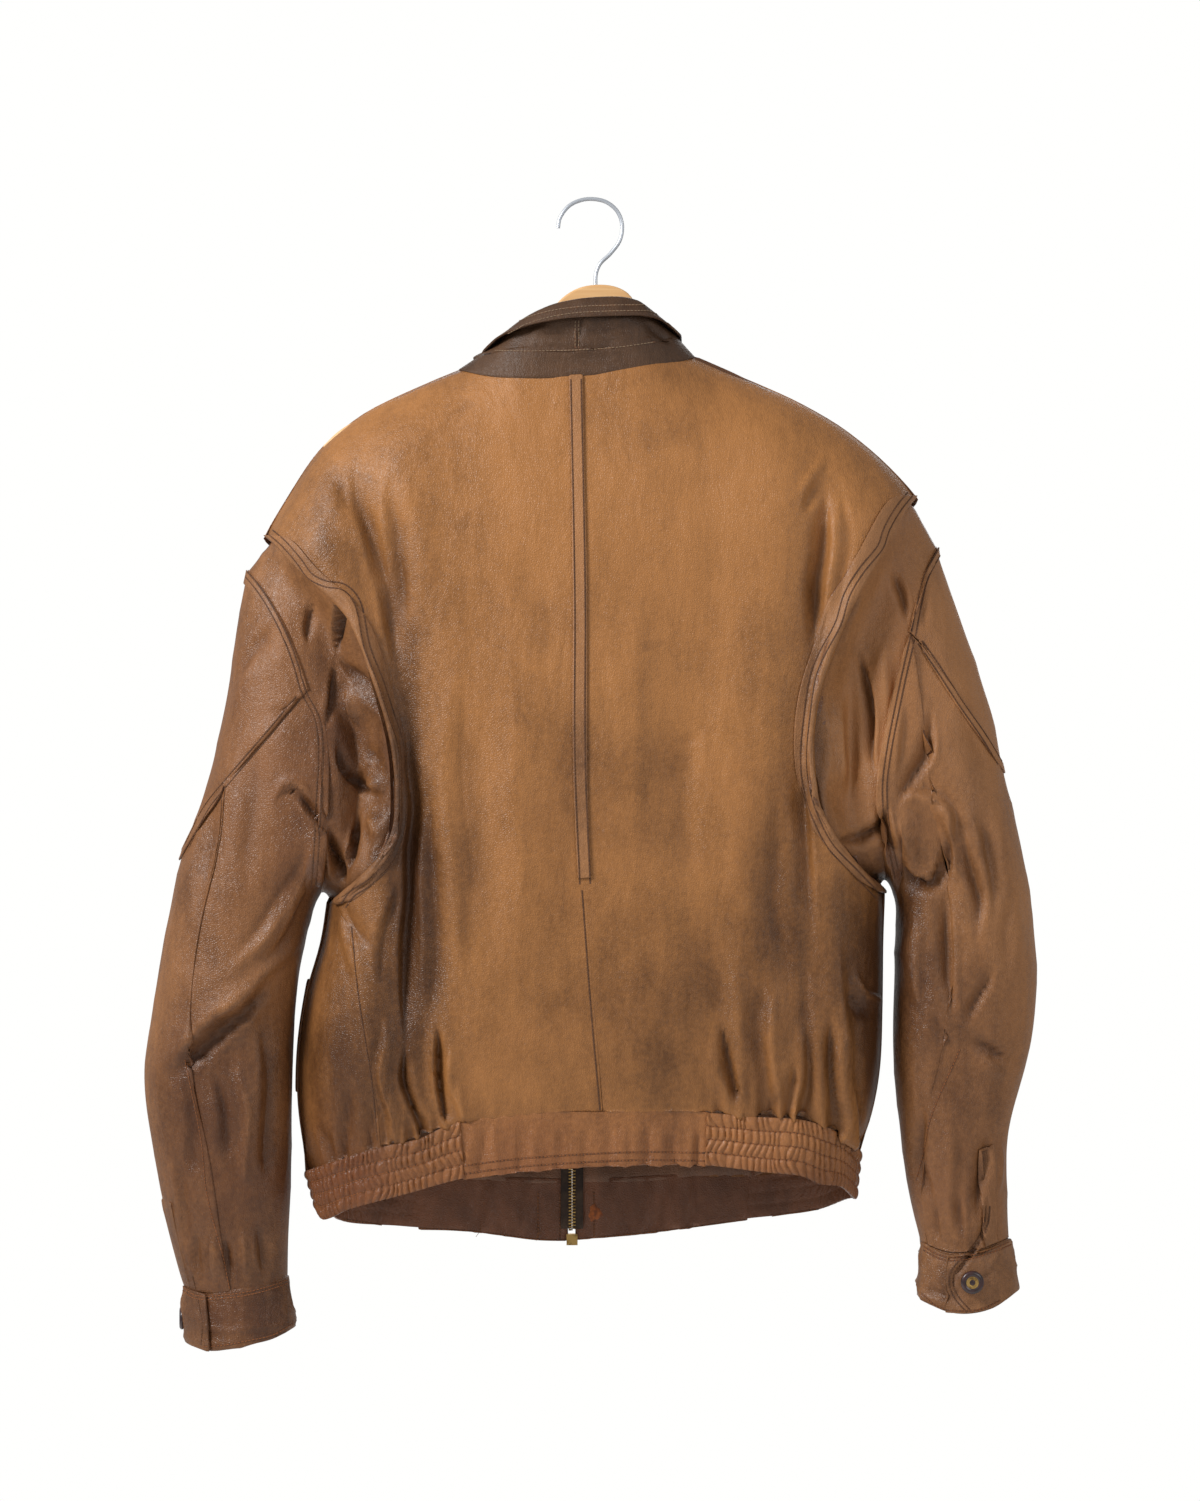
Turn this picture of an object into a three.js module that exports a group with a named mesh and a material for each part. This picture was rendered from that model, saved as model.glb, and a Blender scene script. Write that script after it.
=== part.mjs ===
// A worn leather blouson, zipped up and hung by its shoulders on a wooden hanger.
// Millimetres, +Z up, +X to the right of the back. The jacket's back faces -Y and its zip faces +Y.
// The origin is the underside of the hook's crown, where a rail carries the hanger.
import * as THREE from 'three';

// Driving dimensions
const WALL = 1.6; // leather of the body and sleeves
const COLLAR_WALL = 2.0; // two layers of leather
const SLEEVE_WALL = 1.4;
const CUFF_WALL = 2.0;
const STRIP_WALL = 1.3; // folded edge of a topstitched seam
const SEAM_INSET = 0.2; // each edge stays this far from its seam line
const SLEEVE_INSET = 0.65;
const UNDERARM_INSET = 1.5; // under the arm the seam turns sharply
const LIFT = 0.35; // clearance under what lies on a panel
const TUCK = 2.2; // a sleeve's seam allowance lies this far under the body panel
const SIDE_ROUND = 75; // how far the body's side turns before it is flat, in outline units
const SLEEVE_ROUND = 60; // the same on a sleeve
const GATHER_PITCH = 10; // one gather of the elastic hem, in outline units
const GATHER_HEIGHT = 1.7;
const WIRE_RADIUS = 1.6;
const HANGER_HALF_THICKNESS = 6;
const HANGER_HEIGHT = 24;
const BUTTON_RADIUS = 9.2;
const BUTTON_SEAT = 1.4; // the button sinks this far into the curve of the tab it closes
const ZIP_TAPE_WIDTH = 11;
const PULL_TAB = { length: 26, width: 8, bar: 1.4, window: 2.8, restAngle: 0.17 };

// Outlines are drawn in a flat grid seen square from behind, one unit is 0.8 mm,
// x to the right and y down. What stands nearer the eye than the mid plane is drawn larger by it.
const UNIT = 0.8;
const CROWN = [592, 201];
const EYE = { x: 600, y: 750.5, distance: 2500 };

// Body outline: shoulder, line under the sleeve, side
const LEFT_SIDE = [[461, 370], [392, 400], [347, 422], [326, 439], [303, 471], [278, 515], [265, 536],
  [281, 640], [298, 760], [314, 860], [328, 906], [322, 942], [308, 985], [299, 1040], [297, 1085],
  [298, 1115], [307, 1169], [316, 1200], [322, 1226], [324, 1250]];
const RIGHT_SIDE = [[693.5, 357], [740, 377], [800, 404], [847, 430], [881, 459], [899, 478], [916, 497],
  [913, 600], [902, 720], [891, 820], [884, 893], [883, 940], [882, 1000], [880, 1074], [877, 1092],
  [871, 1116], [865, 1139], [859, 1157], [858, 1178], [853, 1210], [850, 1240]];
const BACK_NECK_LEFT = [[576, 375.7], [546, 376.5], [518, 376.5], [489, 375], [461, 370]];
const BACK_NECK_RIGHT = [[576, 375.7], [604, 373], [624, 370], [655, 365], [683, 360], [693.5, 357]];
const FRONT_NECK_LEFT = [[566, 446], [540, 436], [508, 412], [480, 388], [461, 370]];
const FRONT_NECK_RIGHT = [[578, 446], [606, 434], [642, 406], [672, 378], [693.5, 357]];
const SHOULDER_LEFT = [[461, 370], [392, 400], [347, 422], [326, 439], [303, 471], [278, 515], [265, 536]];
const SHOULDER_RIGHT = [[693.5, 357], [740, 377], [800, 404], [847, 430], [881, 459], [899, 478], [916, 497]];
const ARMHOLE_BACK_LEFT = [[265, 536], [278, 547], [293, 564], [306, 581], [324, 590], [341, 593],
  [351, 604], [361, 649], [375, 685], [386, 719], [395, 748], [397, 790], [395, 831], [385, 857],
  [366, 877], [348, 889], [338, 902]];
const ARMHOLE_FRONT_LEFT = [[265, 536], [284, 560], [306, 600], [326, 650], [344, 710], [354, 770],
  [353, 830], [343, 880], [328, 906]];
const ARMHOLE_BACK_RIGHT = [[916, 497], [904, 512], [893, 531], [886, 550], [866, 575], [853, 597],
  [844, 626], [828, 656], [820, 675], [814, 710], [810, 765], [816, 800], [834, 840], [860, 868],
  [884, 893]];
const ARMHOLE_FRONT_RIGHT = [[916, 497], [900, 520], [880, 560], [862, 620], [848, 690], [842, 760],
  [848, 830], [864, 872], [884, 893]];
const SIDE_SEAM_LEFT = [[338, 902], [354, 926], [361, 995], [368, 1041], [375, 1087], [380, 1144]];
const CENTRE_BACK = [[576, 375.7], [580, 600], [580, 760], [585, 888], [594, 1010], [603, 1112]];
const CENTRE_FRONT_LEFT = [[566, 446], [566, 800], [565, 1188]];
const CENTRE_FRONT_RIGHT = [[578, 446], [578, 800], [577, 1188]];

// Waist seam and hem edge, from the left side to the right side
const WAIST_BACK = [[307, 1170], [334, 1161], [359, 1153], [391, 1144], [419, 1138], [455, 1122],
  [506, 1117], [547, 1112], [603, 1112], [705, 1112], [754, 1116], [806, 1120], [841, 1134], [859, 1150]];
const WAIST_FRONT = [[307, 1170], [360, 1178], [430, 1184], [500, 1187], [571, 1189], [653, 1186],
  [744, 1178], [820, 1166], [859, 1150]];
const HEM_BACK = [[318, 1209], [324, 1219], [350, 1209], [405, 1194], [464, 1178], [508, 1172], [556, 1168],
  [643, 1164], [705, 1165], [764, 1172], [801, 1176], [820, 1184], [841, 1187], [854, 1199]];
const HEM_FRONT = [[318, 1209], [340, 1228], [400, 1236], [469, 1240], [549, 1249], [602, 1246],
  [653, 1241], [744, 1229], [820, 1218], [854, 1199]];

// Collar, seen from behind: the line it rolls over at, and the edge of the turned leaf
const COLLAR_ROLL = [[440, 380], [475, 358], [491, 345], [508, 332], [518, 322], [534, 312], [559, 302.5],
  [593, 298], [624, 297.5], [640, 302], [657, 315], [669, 325], [681, 338], [700, 360]];
const COLLAR_LEAF_EDGE = [[440, 400], [475, 372], [508, 337], [528, 327], [551, 320], [577, 316], [604, 314.5],
  [634, 314], [651, 315], [663, 323], [675, 335], [700, 372]];
const COLLAR_FRONT_HEIGHT = 34;
const COLLAR_CLEARANCE = 1.1;
const COLLAR_FOLD_DROP = 3.5; // the under collar ends below the roll of the leaf over it

// Hanger: the wood's hump in the neck, and the hook's wire from its tip down into the wood
const HANGER_NECK = [[505, 364], [532, 344], [548, 316], [562, 299], [578, 289], [596, 285.5], [614, 287],
  [628, 294], [640, 312], [652, 336], [672, 354]];
const HANGER_CLEARANCE = 2.6;
const HOOK_LINE = [[558, 228], [560, 218], [569, 206], [580, 200.5], [592, 199], [606, 202], [617, 211],
  [622, 224], [620, 240], [611, 253], [600, 264], [596, 274], [595.5, 284.6]];

// Half depths of the body at heights down the outline grid
const BACK_DEPTH = [[357, 38], [430, 52], [520, 64], [700, 70], [900, 70], [1050, 66], [1115, 58], [1240, 56]];
const FRONT_DEPTH = [[357, 28], [460, 46], [600, 58], [900, 60], [1100, 58], [1190, 52], [1250, 50]];

// Largest folds: a line, its half width in outline units, and how deep it goes in (a ridge is negative)
const BACK_FOLDS = [
  { path: [[352, 470], [372, 560], [398, 650], [414, 780], [414, 900], [406, 1010]], width: 20, depth: 11 },
  { path: [[361, 655], [378, 695], [392, 750], [394, 810], [384, 850]], width: 10, depth: -5 },
  { path: [[828, 480], [824, 560], [818, 650], [802, 740], [796, 860], [806, 980]], width: 18, depth: 10 },
  { path: [[846, 630], [828, 668], [816, 720], [813, 780], [826, 825]], width: 10, depth: -5 },
  { path: [[438, 1000], [438, 1100]], width: 14, depth: 5 },
  { path: [[736, 1020], [738, 1090]], width: 16, depth: 5 },
  { path: [[700, 620], [690, 800], [712, 980]], width: 40, depth: 4 },
];
const FRONT_FOLDS = [
  { path: [[470, 560], [452, 800], [440, 1100]], width: 26, depth: 9 },
  { path: [[700, 560], [716, 800], [730, 1100]], width: 26, depth: 9 },
];

// Sleeves. Each outline runs from the shoulder or underarm down to the cuff.
const LEFT_SLEEVE = {
  side: 'left',
  ridge: [[247, 568], [262, 586], [276, 608], [290, 636], [300, 663], [308, 690]],
  ridgeLower: [[308, 690], [322, 719], [325, 760], [323, 800], [321, 845], [318, 896]],
  capOutside: [[247, 568], [240, 601], [230, 660], [217, 738], [195, 826], [185, 850]],
  outside: [[185, 850], [170, 900], [160, 961], [151, 1016], [140, 1084], [147.5, 1126], [160, 1194],
    [164, 1224], [178, 1261], [183, 1283]],
  inside: [[318, 896], [312, 914], [306, 936], [296, 992], [292, 1084], [293, 1175], [290, 1224], [288, 1276]],
  cuffSeam: [[183, 1283], [197, 1292], [230, 1291], [262, 1285], [288, 1276]],
  cuffOutside: [[183, 1283], [184, 1316], [185, 1340]],
  cuffInside: [[288, 1276], [294, 1305], [296, 1326]],
  cuffEdge: [[185, 1340], [203, 1351], [225, 1349], [252, 1344], [274, 1339], [296, 1326]],
  depth: [[536, 26], [620, 44], [800, 52], [1000, 50], [1084, 48], [1200, 38], [1290, 32], [1350, 35]],
  tip: [266, 540],
  capDiagonal: [[185, 850], [206, 808], [230, 778], [268, 734], [298, 698]],
  stripShare: 0.05,
  guides: [[[172, 893], [222, 846], [262, 800], [290, 764], [302, 790], [304, 840], [306, 880], [313, 918]],
    [[163, 938], [215, 920], [260, 895], [286, 889], [299, 904], [307, 936]]],
  seam: [[920, 0.22], [1059, 0.3], [1139, 0.375], [1252, 0.435], [1292, 0.467]],
  seamColumn: 3,
  folds: [
    { path: [[345, 640], [362, 700], [370, 770], [358, 830]], width: 20, depth: 20 },
    { path: [[160, 1060], [203, 1020], [242, 990], [284, 950]], width: 18, depth: -8 },
    { path: [[178, 1092], [220, 1052], [262, 1016], [292, 980]], width: 16, depth: 9 },
  ],
  tabColumns: [-3, -2, -1, 0, 1, 2],
  placketColumns: [0, 1],
  buttonAt: [185, 1318],
  buttonFaces: 'side',
};
const RIGHT_SLEEVE = {
  side: 'right',
  ridge: [[938, 545], [933, 554], [922, 575], [915, 602], [909, 632]],
  ridgeLower: [[909, 632], [899, 676], [892, 710], [885, 746], [880, 786], [883, 830], [893, 886]],
  capOutside: [[938, 545], [941, 564], [952, 594], [973, 658], [994, 728], [1001, 765]],
  outside: [[1001, 765], [1016, 820], [1026, 859], [1034, 918], [1038, 966], [1037, 1022], [1029, 1061],
    [1016, 1100], [1009, 1122], [1008, 1165], [1010, 1210], [1011, 1237]],
  inside: [[893, 886], [895.5, 908], [893, 976], [891, 1022], [893, 1080], [898, 1113], [904, 1161],
    [911, 1200], [921, 1241]],
  cuffSeam: [[1011, 1237], [990, 1246], [965, 1253], [944, 1253], [921, 1241]],
  cuffOutside: [[1011, 1237], [1015, 1262], [1017, 1288]],
  cuffInside: [[921, 1241], [918, 1268], [917, 1295]],
  cuffEdge: [[1017, 1288], [1002, 1304], [982, 1313], [961, 1315], [939, 1312], [926, 1306], [917, 1295]],
  depth: [[497, 26], [600, 44], [780, 52], [960, 50], [1060, 46], [1160, 38], [1240, 33], [1310, 36]],
  tip: [915, 501],
  capDiagonal: [[1001, 765], [985, 738], [960, 702], [938, 668], [920, 642]],
  stripShare: 0.05,
  guides: [[[1012, 803], [985, 788], [950, 756], [918, 728], [905, 750], [899, 800], [903, 856], [895.5, 909]],
    [[1021, 840], [990, 846], [950, 850], [920, 864], [906, 892], [894, 934]]],
  seam: [[900, 0.5], [1048, 0.53], [1119, 0.74], [1145, 0.8], [1240, 0.93]],
  seamColumn: 6,
  folds: [
    { path: [[858, 615], [846, 680], [838, 740], [842, 800]], width: 18, depth: 18 },
    { path: [[905, 836], [936, 818], [962, 832]], width: 14, depth: -7 },
    { path: [[944, 856], [950, 900], [958, 980]], width: 13, depth: 8 },
    { path: [[1014, 1030], [984, 1046], [952, 1062]], width: 16, depth: 8 },
  ],
  tabColumns: [-3, -2, -1, 0, 1, 2, 3, 4, 5],
  placketColumns: [2, 3],
  buttonAt: [972, 1282],
  buttonFaces: 'back',
};

// Materials
const COLOURS = {
  body: 0x96683f, sleeve: 0x85573a, collar: 0x574333, band: 0x8f6240, strip: 0x7d5336, dark: 0x4a3023,
  wood: 0xe6c08e, wire: 0xc9ccd0, brass: 0xa8874e, button: 0x43292a, tape: 0x3a2c24,
};
function material(name, roughness = 0.6, metalness = 0) {
  return new THREE.MeshStandardMaterial({ color: COLOURS[name], roughness, metalness });
}
const LEATHER = { body: material('body'), sleeve: material('sleeve', 0.5), collar: material('collar'),
  band: material('band'), strip: material('strip') };
const METAL = { wire: material('wire', 0.2, 1), brass: material('brass', 0.35, 1) };
const WOOD = material('wood', 0.5);
const TAPE = material('tape', 0.9);
const BUTTON = material('button', 0.3);

const jacket = new THREE.Group();

// Small helpers
const mix = (a, b, t) => a + (b - a) * t;
const mixPoint = (a, b, t) => [mix(a[0], b[0], t), mix(a[1], b[1], t)];
const clamp = (t) => Math.min(1, Math.max(0, t));
const smooth = (t) => clamp(t) ** 2 * (3 - 2 * clamp(t));
const steps = (count) => Array.from({ length: count + 1 }, (_, k) => k / count);

// A curve through hand-picked points, read at a share of its length
function curve(points) {
  const spline = new THREE.CatmullRomCurve3(points.map(([x, y]) => new THREE.Vector3(x, y, 0)),
    false, 'centripetal');
  spline.arcLengthDivisions = 300;
  return (share) => {
    const p = spline.getPointAt(clamp(share));
    return [p.x, p.y];
  };
}

// A height on a curve that runs from left to right or from top to bottom
function reader(points, from, to) {
  const samples = steps(160).map(curve(points));
  return (value) => {
    for (let k = 1; k < samples.length; k += 1) {
      const a = samples[k - 1];
      const b = samples[k];
      if ((value - a[from]) * (value - b[from]) <= 0 && a[from] !== b[from]) {
        return mix(a[to], b[to], (value - a[from]) / (b[from] - a[from]));
      }
    }
    const ends = [samples[0], samples[samples.length - 1]];
    const near = ends.sort((p, q) => Math.abs(p[from] - value) - Math.abs(q[from] - value))[0];
    return near[to];
  };
}

function table(rows) {
  return (value) => {
    if (value <= rows[0][0]) return rows[0][1];
    for (let k = 1; k < rows.length; k += 1) {
      if (value <= rows[k][0]) {
        return mix(rows[k - 1][1], rows[k][1], (value - rows[k - 1][0]) / (rows[k][0] - rows[k - 1][0]));
      }
    }
    return rows[rows.length - 1][1];
  };
}

function distanceTo(samples, x, y) {
  let best = Infinity;
  for (let k = 1; k < samples.length; k += 1) {
    const [ax, ay] = samples[k - 1];
    const dx = samples[k][0] - ax;
    const dy = samples[k][1] - ay;
    const t = clamp(((x - ax) * dx + (y - ay) * dy) / (dx * dx + dy * dy));
    best = Math.min(best, Math.hypot(x - ax - t * dx, y - ay - t * dy));
  }
  return best;
}

const rounding = (distance, radius) => (distance >= radius ? 1
  : Math.sqrt(Math.max(0, 1 - (1 - distance / radius) ** 2)));

function prepareFolds(folds) {
  return folds.map(({ path, width, depth }) => ({ samples: steps(24).map(curve(path)), width, depth }));
}
function foldDepth(folds, x, y) {
  let sum = 0;
  for (const { samples, width, depth } of folds) {
    sum += depth * Math.exp(-((distanceTo(samples, x, y) / width) ** 2));
  }
  return sum;
}

// From the outline grid to space. Only the near half is drawn larger than life.
function place(x, y, depth) {
  const scale = UNIT * (1 + Math.min(0, depth) / EYE.distance);
  const crownX = (EYE.x - CROWN[0]) * UNIT;
  const crownZ = (CROWN[1] - EYE.y) * UNIT;
  return new THREE.Vector3((x - EYE.x) * scale + crownX, depth, (EYE.y - y) * scale + crownZ);
}

// The body's surface: side is -1 on the back and 1 on the front
const outlineLeft = steps(90).map(curve(LEFT_SIDE));
const outlineRight = steps(90).map(curve(RIGHT_SIDE));
const backDepth = table(BACK_DEPTH);
const frontDepth = table(FRONT_DEPTH);
const backFolds = prepareFolds(BACK_FOLDS);
const frontFolds = prepareFolds(FRONT_FOLDS);
function bodyDepth(x, y, side) {
  const edge = Math.min(distanceTo(outlineLeft, x, y), distanceTo(outlineRight, x, y));
  const round = rounding(edge, SIDE_ROUND);
  const crown = 1 + 0.05 * (1 - ((x - 590) / 260) ** 2);
  const full = side < 0 ? backDepth(y) : frontDepth(y);
  const fold = foldDepth(side < 0 ? backFolds : frontFolds, x, y);
  return side * (full * round * crown - fold * Math.min(1, round * 1.1) * smooth(edge / 20));
}
function bodyPoint(x, y, side) {
  return place(x, y, bodyDepth(x, y, side));
}

// Normals of a grid of points. Rows that lie across a seam, above or below, keep the surface smooth there.
function gridNormals(points, closed, { above = null, below = null } = {}) {
  const rows = points.length;
  const columns = points[0].length;
  return points.map((row, i) => row.map((point, j) => {
    const left = closed ? row[(j + columns - 1) % columns] : row[Math.max(0, j - 1)];
    const right = closed ? row[(j + 1) % columns] : row[Math.min(columns - 1, j + 1)];
    const over = i > 0 ? points[i - 1][j] : above?.[j] ?? point;
    const under = i < rows - 1 ? points[i + 1][j] : below?.[j] ?? point;
    const normal = new THREE.Vector3().crossVectors(right.clone().sub(left), under.clone().sub(over));
    if (Math.abs(point.y) < 0.05) normal.y = 0;
    return normal.normalize();
  }));
}

function insetEdges(points, closed, amount) {
  const result = points.map((row) => row.map((p) => p.clone()));
  const pull = (target, from, towards, j) => {
    const step = towards.clone().sub(from);
    const wanted = typeof amount === 'function' ? amount(j) : amount;
    target.add(step.setLength(Math.min(wanted, step.length() / 3)));
  };
  const last = points.length - 1;
  points[0].forEach((p, j) => {
    pull(result[0][j], p, points[1][j], j);
    pull(result[last][j], points[last][j], points[last - 1][j], j);
  });
  if (closed) return result;
  const end = points[0].length - 1;
  points.forEach((row, i) => {
    pull(result[i][0], row[0], row[1], 0);
    pull(result[i][end], row[end], row[end - 1], end);
  });
  return result;
}

// Turns a grid of outer points and a grid of inner points into one closed solid
function closedWall(outer, inner, closed) {
  const rows = outer.length;
  const columns = outer[0].length;
  const position = [...outer.flat(), ...inner.flat()];
  const index = [];
  const at = (layer, i, j) => layer * rows * columns + i * columns + (j % columns);
  const quad = (a, b, c, d) => index.push(a, b, c, a, c, d);
  const across = closed ? columns : columns - 1;
  for (let i = 0; i < rows - 1; i += 1) {
    for (let j = 0; j < across; j += 1) {
      const corner = (layer) => [
        at(layer, i, j), at(layer, i, j + 1), at(layer, i + 1, j + 1), at(layer, i + 1, j)];
      const [a, b, c, d] = corner(0);
      const [e, f, g, h] = corner(1);
      // Each quad folds along its shorter diagonal, as cloth does
      if (position[a].distanceTo(position[c]) < position[b].distanceTo(position[d])) {
        index.push(a, b, c, a, c, d, e, g, f, e, h, g);
      } else {
        index.push(b, c, d, b, d, a, f, h, g, f, e, h);
      }
    }
  }
  for (let j = 0; j < across; j += 1) {
    quad(at(1, 0, j), at(1, 0, j + 1), at(0, 0, j + 1), at(0, 0, j));
    quad(at(0, rows - 1, j), at(0, rows - 1, j + 1), at(1, rows - 1, j + 1), at(1, rows - 1, j));
  }
  if (!closed) {
    for (let i = 0; i < rows - 1; i += 1) {
      quad(at(1, i, 0), at(0, i, 0), at(0, i + 1, 0), at(1, i + 1, 0));
      quad(at(0, i, across), at(1, i, across), at(1, i + 1, across), at(0, i + 1, across));
    }
  }
  return solid(position, index);
}

function solid(position, index) {
  let volume = 0;
  for (let k = 0; k < index.length; k += 3) {
    const [a, b, c] = [position[index[k]], position[index[k + 1]], position[index[k + 2]]];
    volume += a.dot(new THREE.Vector3().crossVectors(b, c)) / 6;
  }
  const order = volume < 0 ? [0, 2, 1] : [0, 1, 2];
  const turned = [];
  for (let k = 0; k < index.length; k += 3) order.forEach((step) => turned.push(index[k + step]));
  const geometry = new THREE.BufferGeometry();
  geometry.setAttribute('position', new THREE.Float32BufferAttribute(position.flatMap((p) => p.toArray()), 3));
  geometry.setIndex(turned);
  geometry.computeVertexNormals();
  return geometry;
}

function addMesh(name, geometry, look) {
  const mesh = new THREE.Mesh(geometry, look);
  mesh.name = name;
  jacket.add(mesh);
  return mesh;
}

// Turns all normals of a grid outwards, judged at one column whose outward direction is known
function faceOut(normals, column, direction) {
  const sign = normals[Math.floor(normals.length / 2)][column].dot(direction) < 0 ? -1 : 1;
  normals.flat().forEach((normal) => normal.multiplyScalar(sign));
  return normals;
}

// A cloth piece: its points move out and in by half the wall, along the normals
function clothPiece(name, points, look, options) {
  const { normals, wall = WALL, closed = false, raise = null, inset = SEAM_INSET } = options;
  const seated = insetEdges(points, closed, inset);
  const shift = (amount) => seated.map((row, i) => row.map((p, j) => {
    const extra = amount > 0 && raise ? raise(i, j) : 0;
    return p.clone().addScaledVector(normals[i][j], amount + extra);
  }));
  const outer = shift(wall / 2);
  const inner = shift(-wall / 2);
  addMesh(name, closedWall(outer, inner, closed), look);
  return { outer, inner, normals, points };
}

// A body panel, whose middle faces back or front
function bodyPiece(name, points, look) {
  const column = Math.floor(points[0].length / 2);
  const facing = new THREE.Vector3(0, Math.sign(points[Math.floor(points.length / 2)][column].y), 0);
  const normals = faceOut(gridNormals(points, false), column, facing);
  return clothPiece(name, points, look, { normals });
}

// A strip that lies on a cloth piece, made from the piece's own points moved out
function onTop(name, outer, normals, look, wall = STRIP_WALL, lift = LIFT) {
  const shift = (amount) => outer.map((row, i) => row.map((p, j) => p.clone()
    .addScaledVector(normals[i][j], amount)));
  addMesh(name, closedWall(shift(lift + wall), shift(lift), false), look);
}
const part = (grid, rows, columns) => rows.map((i) => columns.map((j) => grid[i][j]));
const range = (from, to) => Array.from({ length: to - from + 1 }, (_, k) => from + k);

// A patch between four edges, read at shares u across and v down
function patch(top, bottom, start, end) {
  const corners = [top(0), top(1), bottom(0), bottom(1)];
  return (u, v, uEdge = u, vEdge = v) => [0, 1].map((k) => (1 - u) * start(vEdge)[k] + u * end(vEdge)[k]
    + (1 - v) * top(uEdge)[k] + v * bottom(uEdge)[k]
    - (1 - u) * (1 - v) * corners[0][k] - u * (1 - v) * corners[1][k]
    - (1 - u) * v * corners[2][k] - u * v * corners[3][k]);
}

// Body panels
const STRIP_UNITS = 6.5; // half of the strip down the centre back
const BACK_COLUMNS = 13;
const FRONT_COLUMNS = 9;
const SHOULDER_ROWS = 5;
const ARMHOLE_SHARES = [0, 0.035, 0.09, 0.17, 0.27, 0.38, 0.5, 0.62, 0.74, 0.85, 0.94, 1];
const ARMHOLE_SHARES_SHORT = [0, 0.04, 0.1, 0.19, 0.3, 0.42, 0.55, 0.68, 0.8, 0.91, 1];

// Shares across a row: dense at its outer end, where the surface turns
const towardsEdge = (count) => steps(count).map((t) => 1 - (1 - t) ** 1.7);

// The stretch of the waist seam between two places across the body
function waistBetween(points, xFrom, xTo) {
  const height = reader(points, 0, 1);
  return (t) => {
    const x = mix(xFrom, xTo, t);
    return [x, height(x)];
  };
}

function bodyPanel({ side, neck, centre, edges, waist, columns, centreStrip }) {
  const edgePoints = edges.flatMap(({ points, shares }, k) => shares.map(curve(points)).slice(k ? 1 : 0));
  const rows = edgePoints.length - 1;
  const centreLine = curve(centre);
  const shares = towardsEdge(columns);
  if (centreStrip) shares[1] = null;
  const surface = patch(curve(neck), waist, centreLine,
    (v) => {
      const k = Math.min(rows - 1, Math.floor(v * rows));
      return mixPoint(edgePoints[k], edgePoints[k + 1], v * rows - k);
    });
  return range(0, rows).map((i) => {
    const v = i / rows;
    const rowLength = Math.abs(surface(1, v)[0] - surface(0, v)[0]);
    return shares.map((share) => surface(share ?? STRIP_UNITS / rowLength, v));
  }).map((row) => row.map(([x, y]) => ({ x, y, side })));
}

const SHOULDER = { shares: steps(SHOULDER_ROWS) };
const leftBackGrid = bodyPanel({
  side: -1, neck: BACK_NECK_LEFT, centre: CENTRE_BACK, columns: BACK_COLUMNS, centreStrip: true,
  waist: waistBetween(WAIST_BACK, 603, 380),
  edges: [{ points: SHOULDER_LEFT, ...SHOULDER }, { points: ARMHOLE_BACK_LEFT, shares: ARMHOLE_SHARES_SHORT },
    { points: [...SIDE_SEAM_LEFT.slice(0, -1), [380, 1146]], shares: steps(7) }],
});
const rightBackGrid = bodyPanel({
  side: -1, neck: BACK_NECK_RIGHT, centre: CENTRE_BACK, columns: BACK_COLUMNS, centreStrip: true,
  waist: waistBetween(WAIST_BACK, 603, 859),
  edges: [{ points: SHOULDER_RIGHT, ...SHOULDER }, { points: ARMHOLE_BACK_RIGHT, shares: ARMHOLE_SHARES },
    { points: [[884, 893], [883, 940], [882, 1000], [880, 1074], [877, 1092], [871, 1116], [859, 1150]],
      shares: steps(6) }],
});
const rightFrontGrid = bodyPanel({
  side: 1, neck: FRONT_NECK_RIGHT, centre: CENTRE_FRONT_RIGHT, columns: FRONT_COLUMNS,
  waist: waistBetween(WAIST_FRONT, 577, 859),
  edges: [{ points: SHOULDER_RIGHT, ...SHOULDER }, { points: ARMHOLE_FRONT_RIGHT, shares: ARMHOLE_SHARES },
    { points: [[884, 893], [883, 940], [882, 1000], [880, 1074], [877, 1092], [871, 1116], [859, 1150]],
      shares: steps(6) }],
});
const leftFrontGrid = bodyPanel({
  side: 1, neck: FRONT_NECK_LEFT, centre: CENTRE_FRONT_LEFT, columns: FRONT_COLUMNS,
  waist: waistBetween(WAIST_FRONT, 565, 307),
  edges: [{ points: SHOULDER_LEFT, ...SHOULDER }, { points: ARMHOLE_FRONT_LEFT, shares: ARMHOLE_SHARES },
    { points: [[328, 906], [322, 942], [308, 985], [299, 1040], [297, 1085], [298, 1115], [307, 1170]],
      shares: steps(7) }],
});

// Points on the outline itself lie exactly on the mid plane
const ARMHOLE_ROW = SHOULDER_ROWS;
const UNDERARM_ROW = SHOULDER_ROWS + ARMHOLE_SHARES.length - 1;
function bodyGrid(grid, sideRow) {
  return grid.map((row, i) => row.map(({ x, y, side }, j) => {
    const onOutline = j === row.length - 1 && (i <= ARMHOLE_ROW || i >= sideRow);
    return onOutline ? place(x, y, 0) : bodyPoint(x, y, side);
  }));
}
const backLeft = bodyPiece('back_left', bodyGrid(leftBackGrid, Infinity), LEATHER.body);
const backRight = bodyPiece('back_right', bodyGrid(rightBackGrid, UNDERARM_ROW), LEATHER.body);
const frontRight = bodyPiece('front_right', bodyGrid(rightFrontGrid, UNDERARM_ROW), LEATHER.body);
const frontLeft = bodyPiece('front_left', bodyGrid(leftFrontGrid, UNDERARM_ROW), LEATHER.body);

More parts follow.
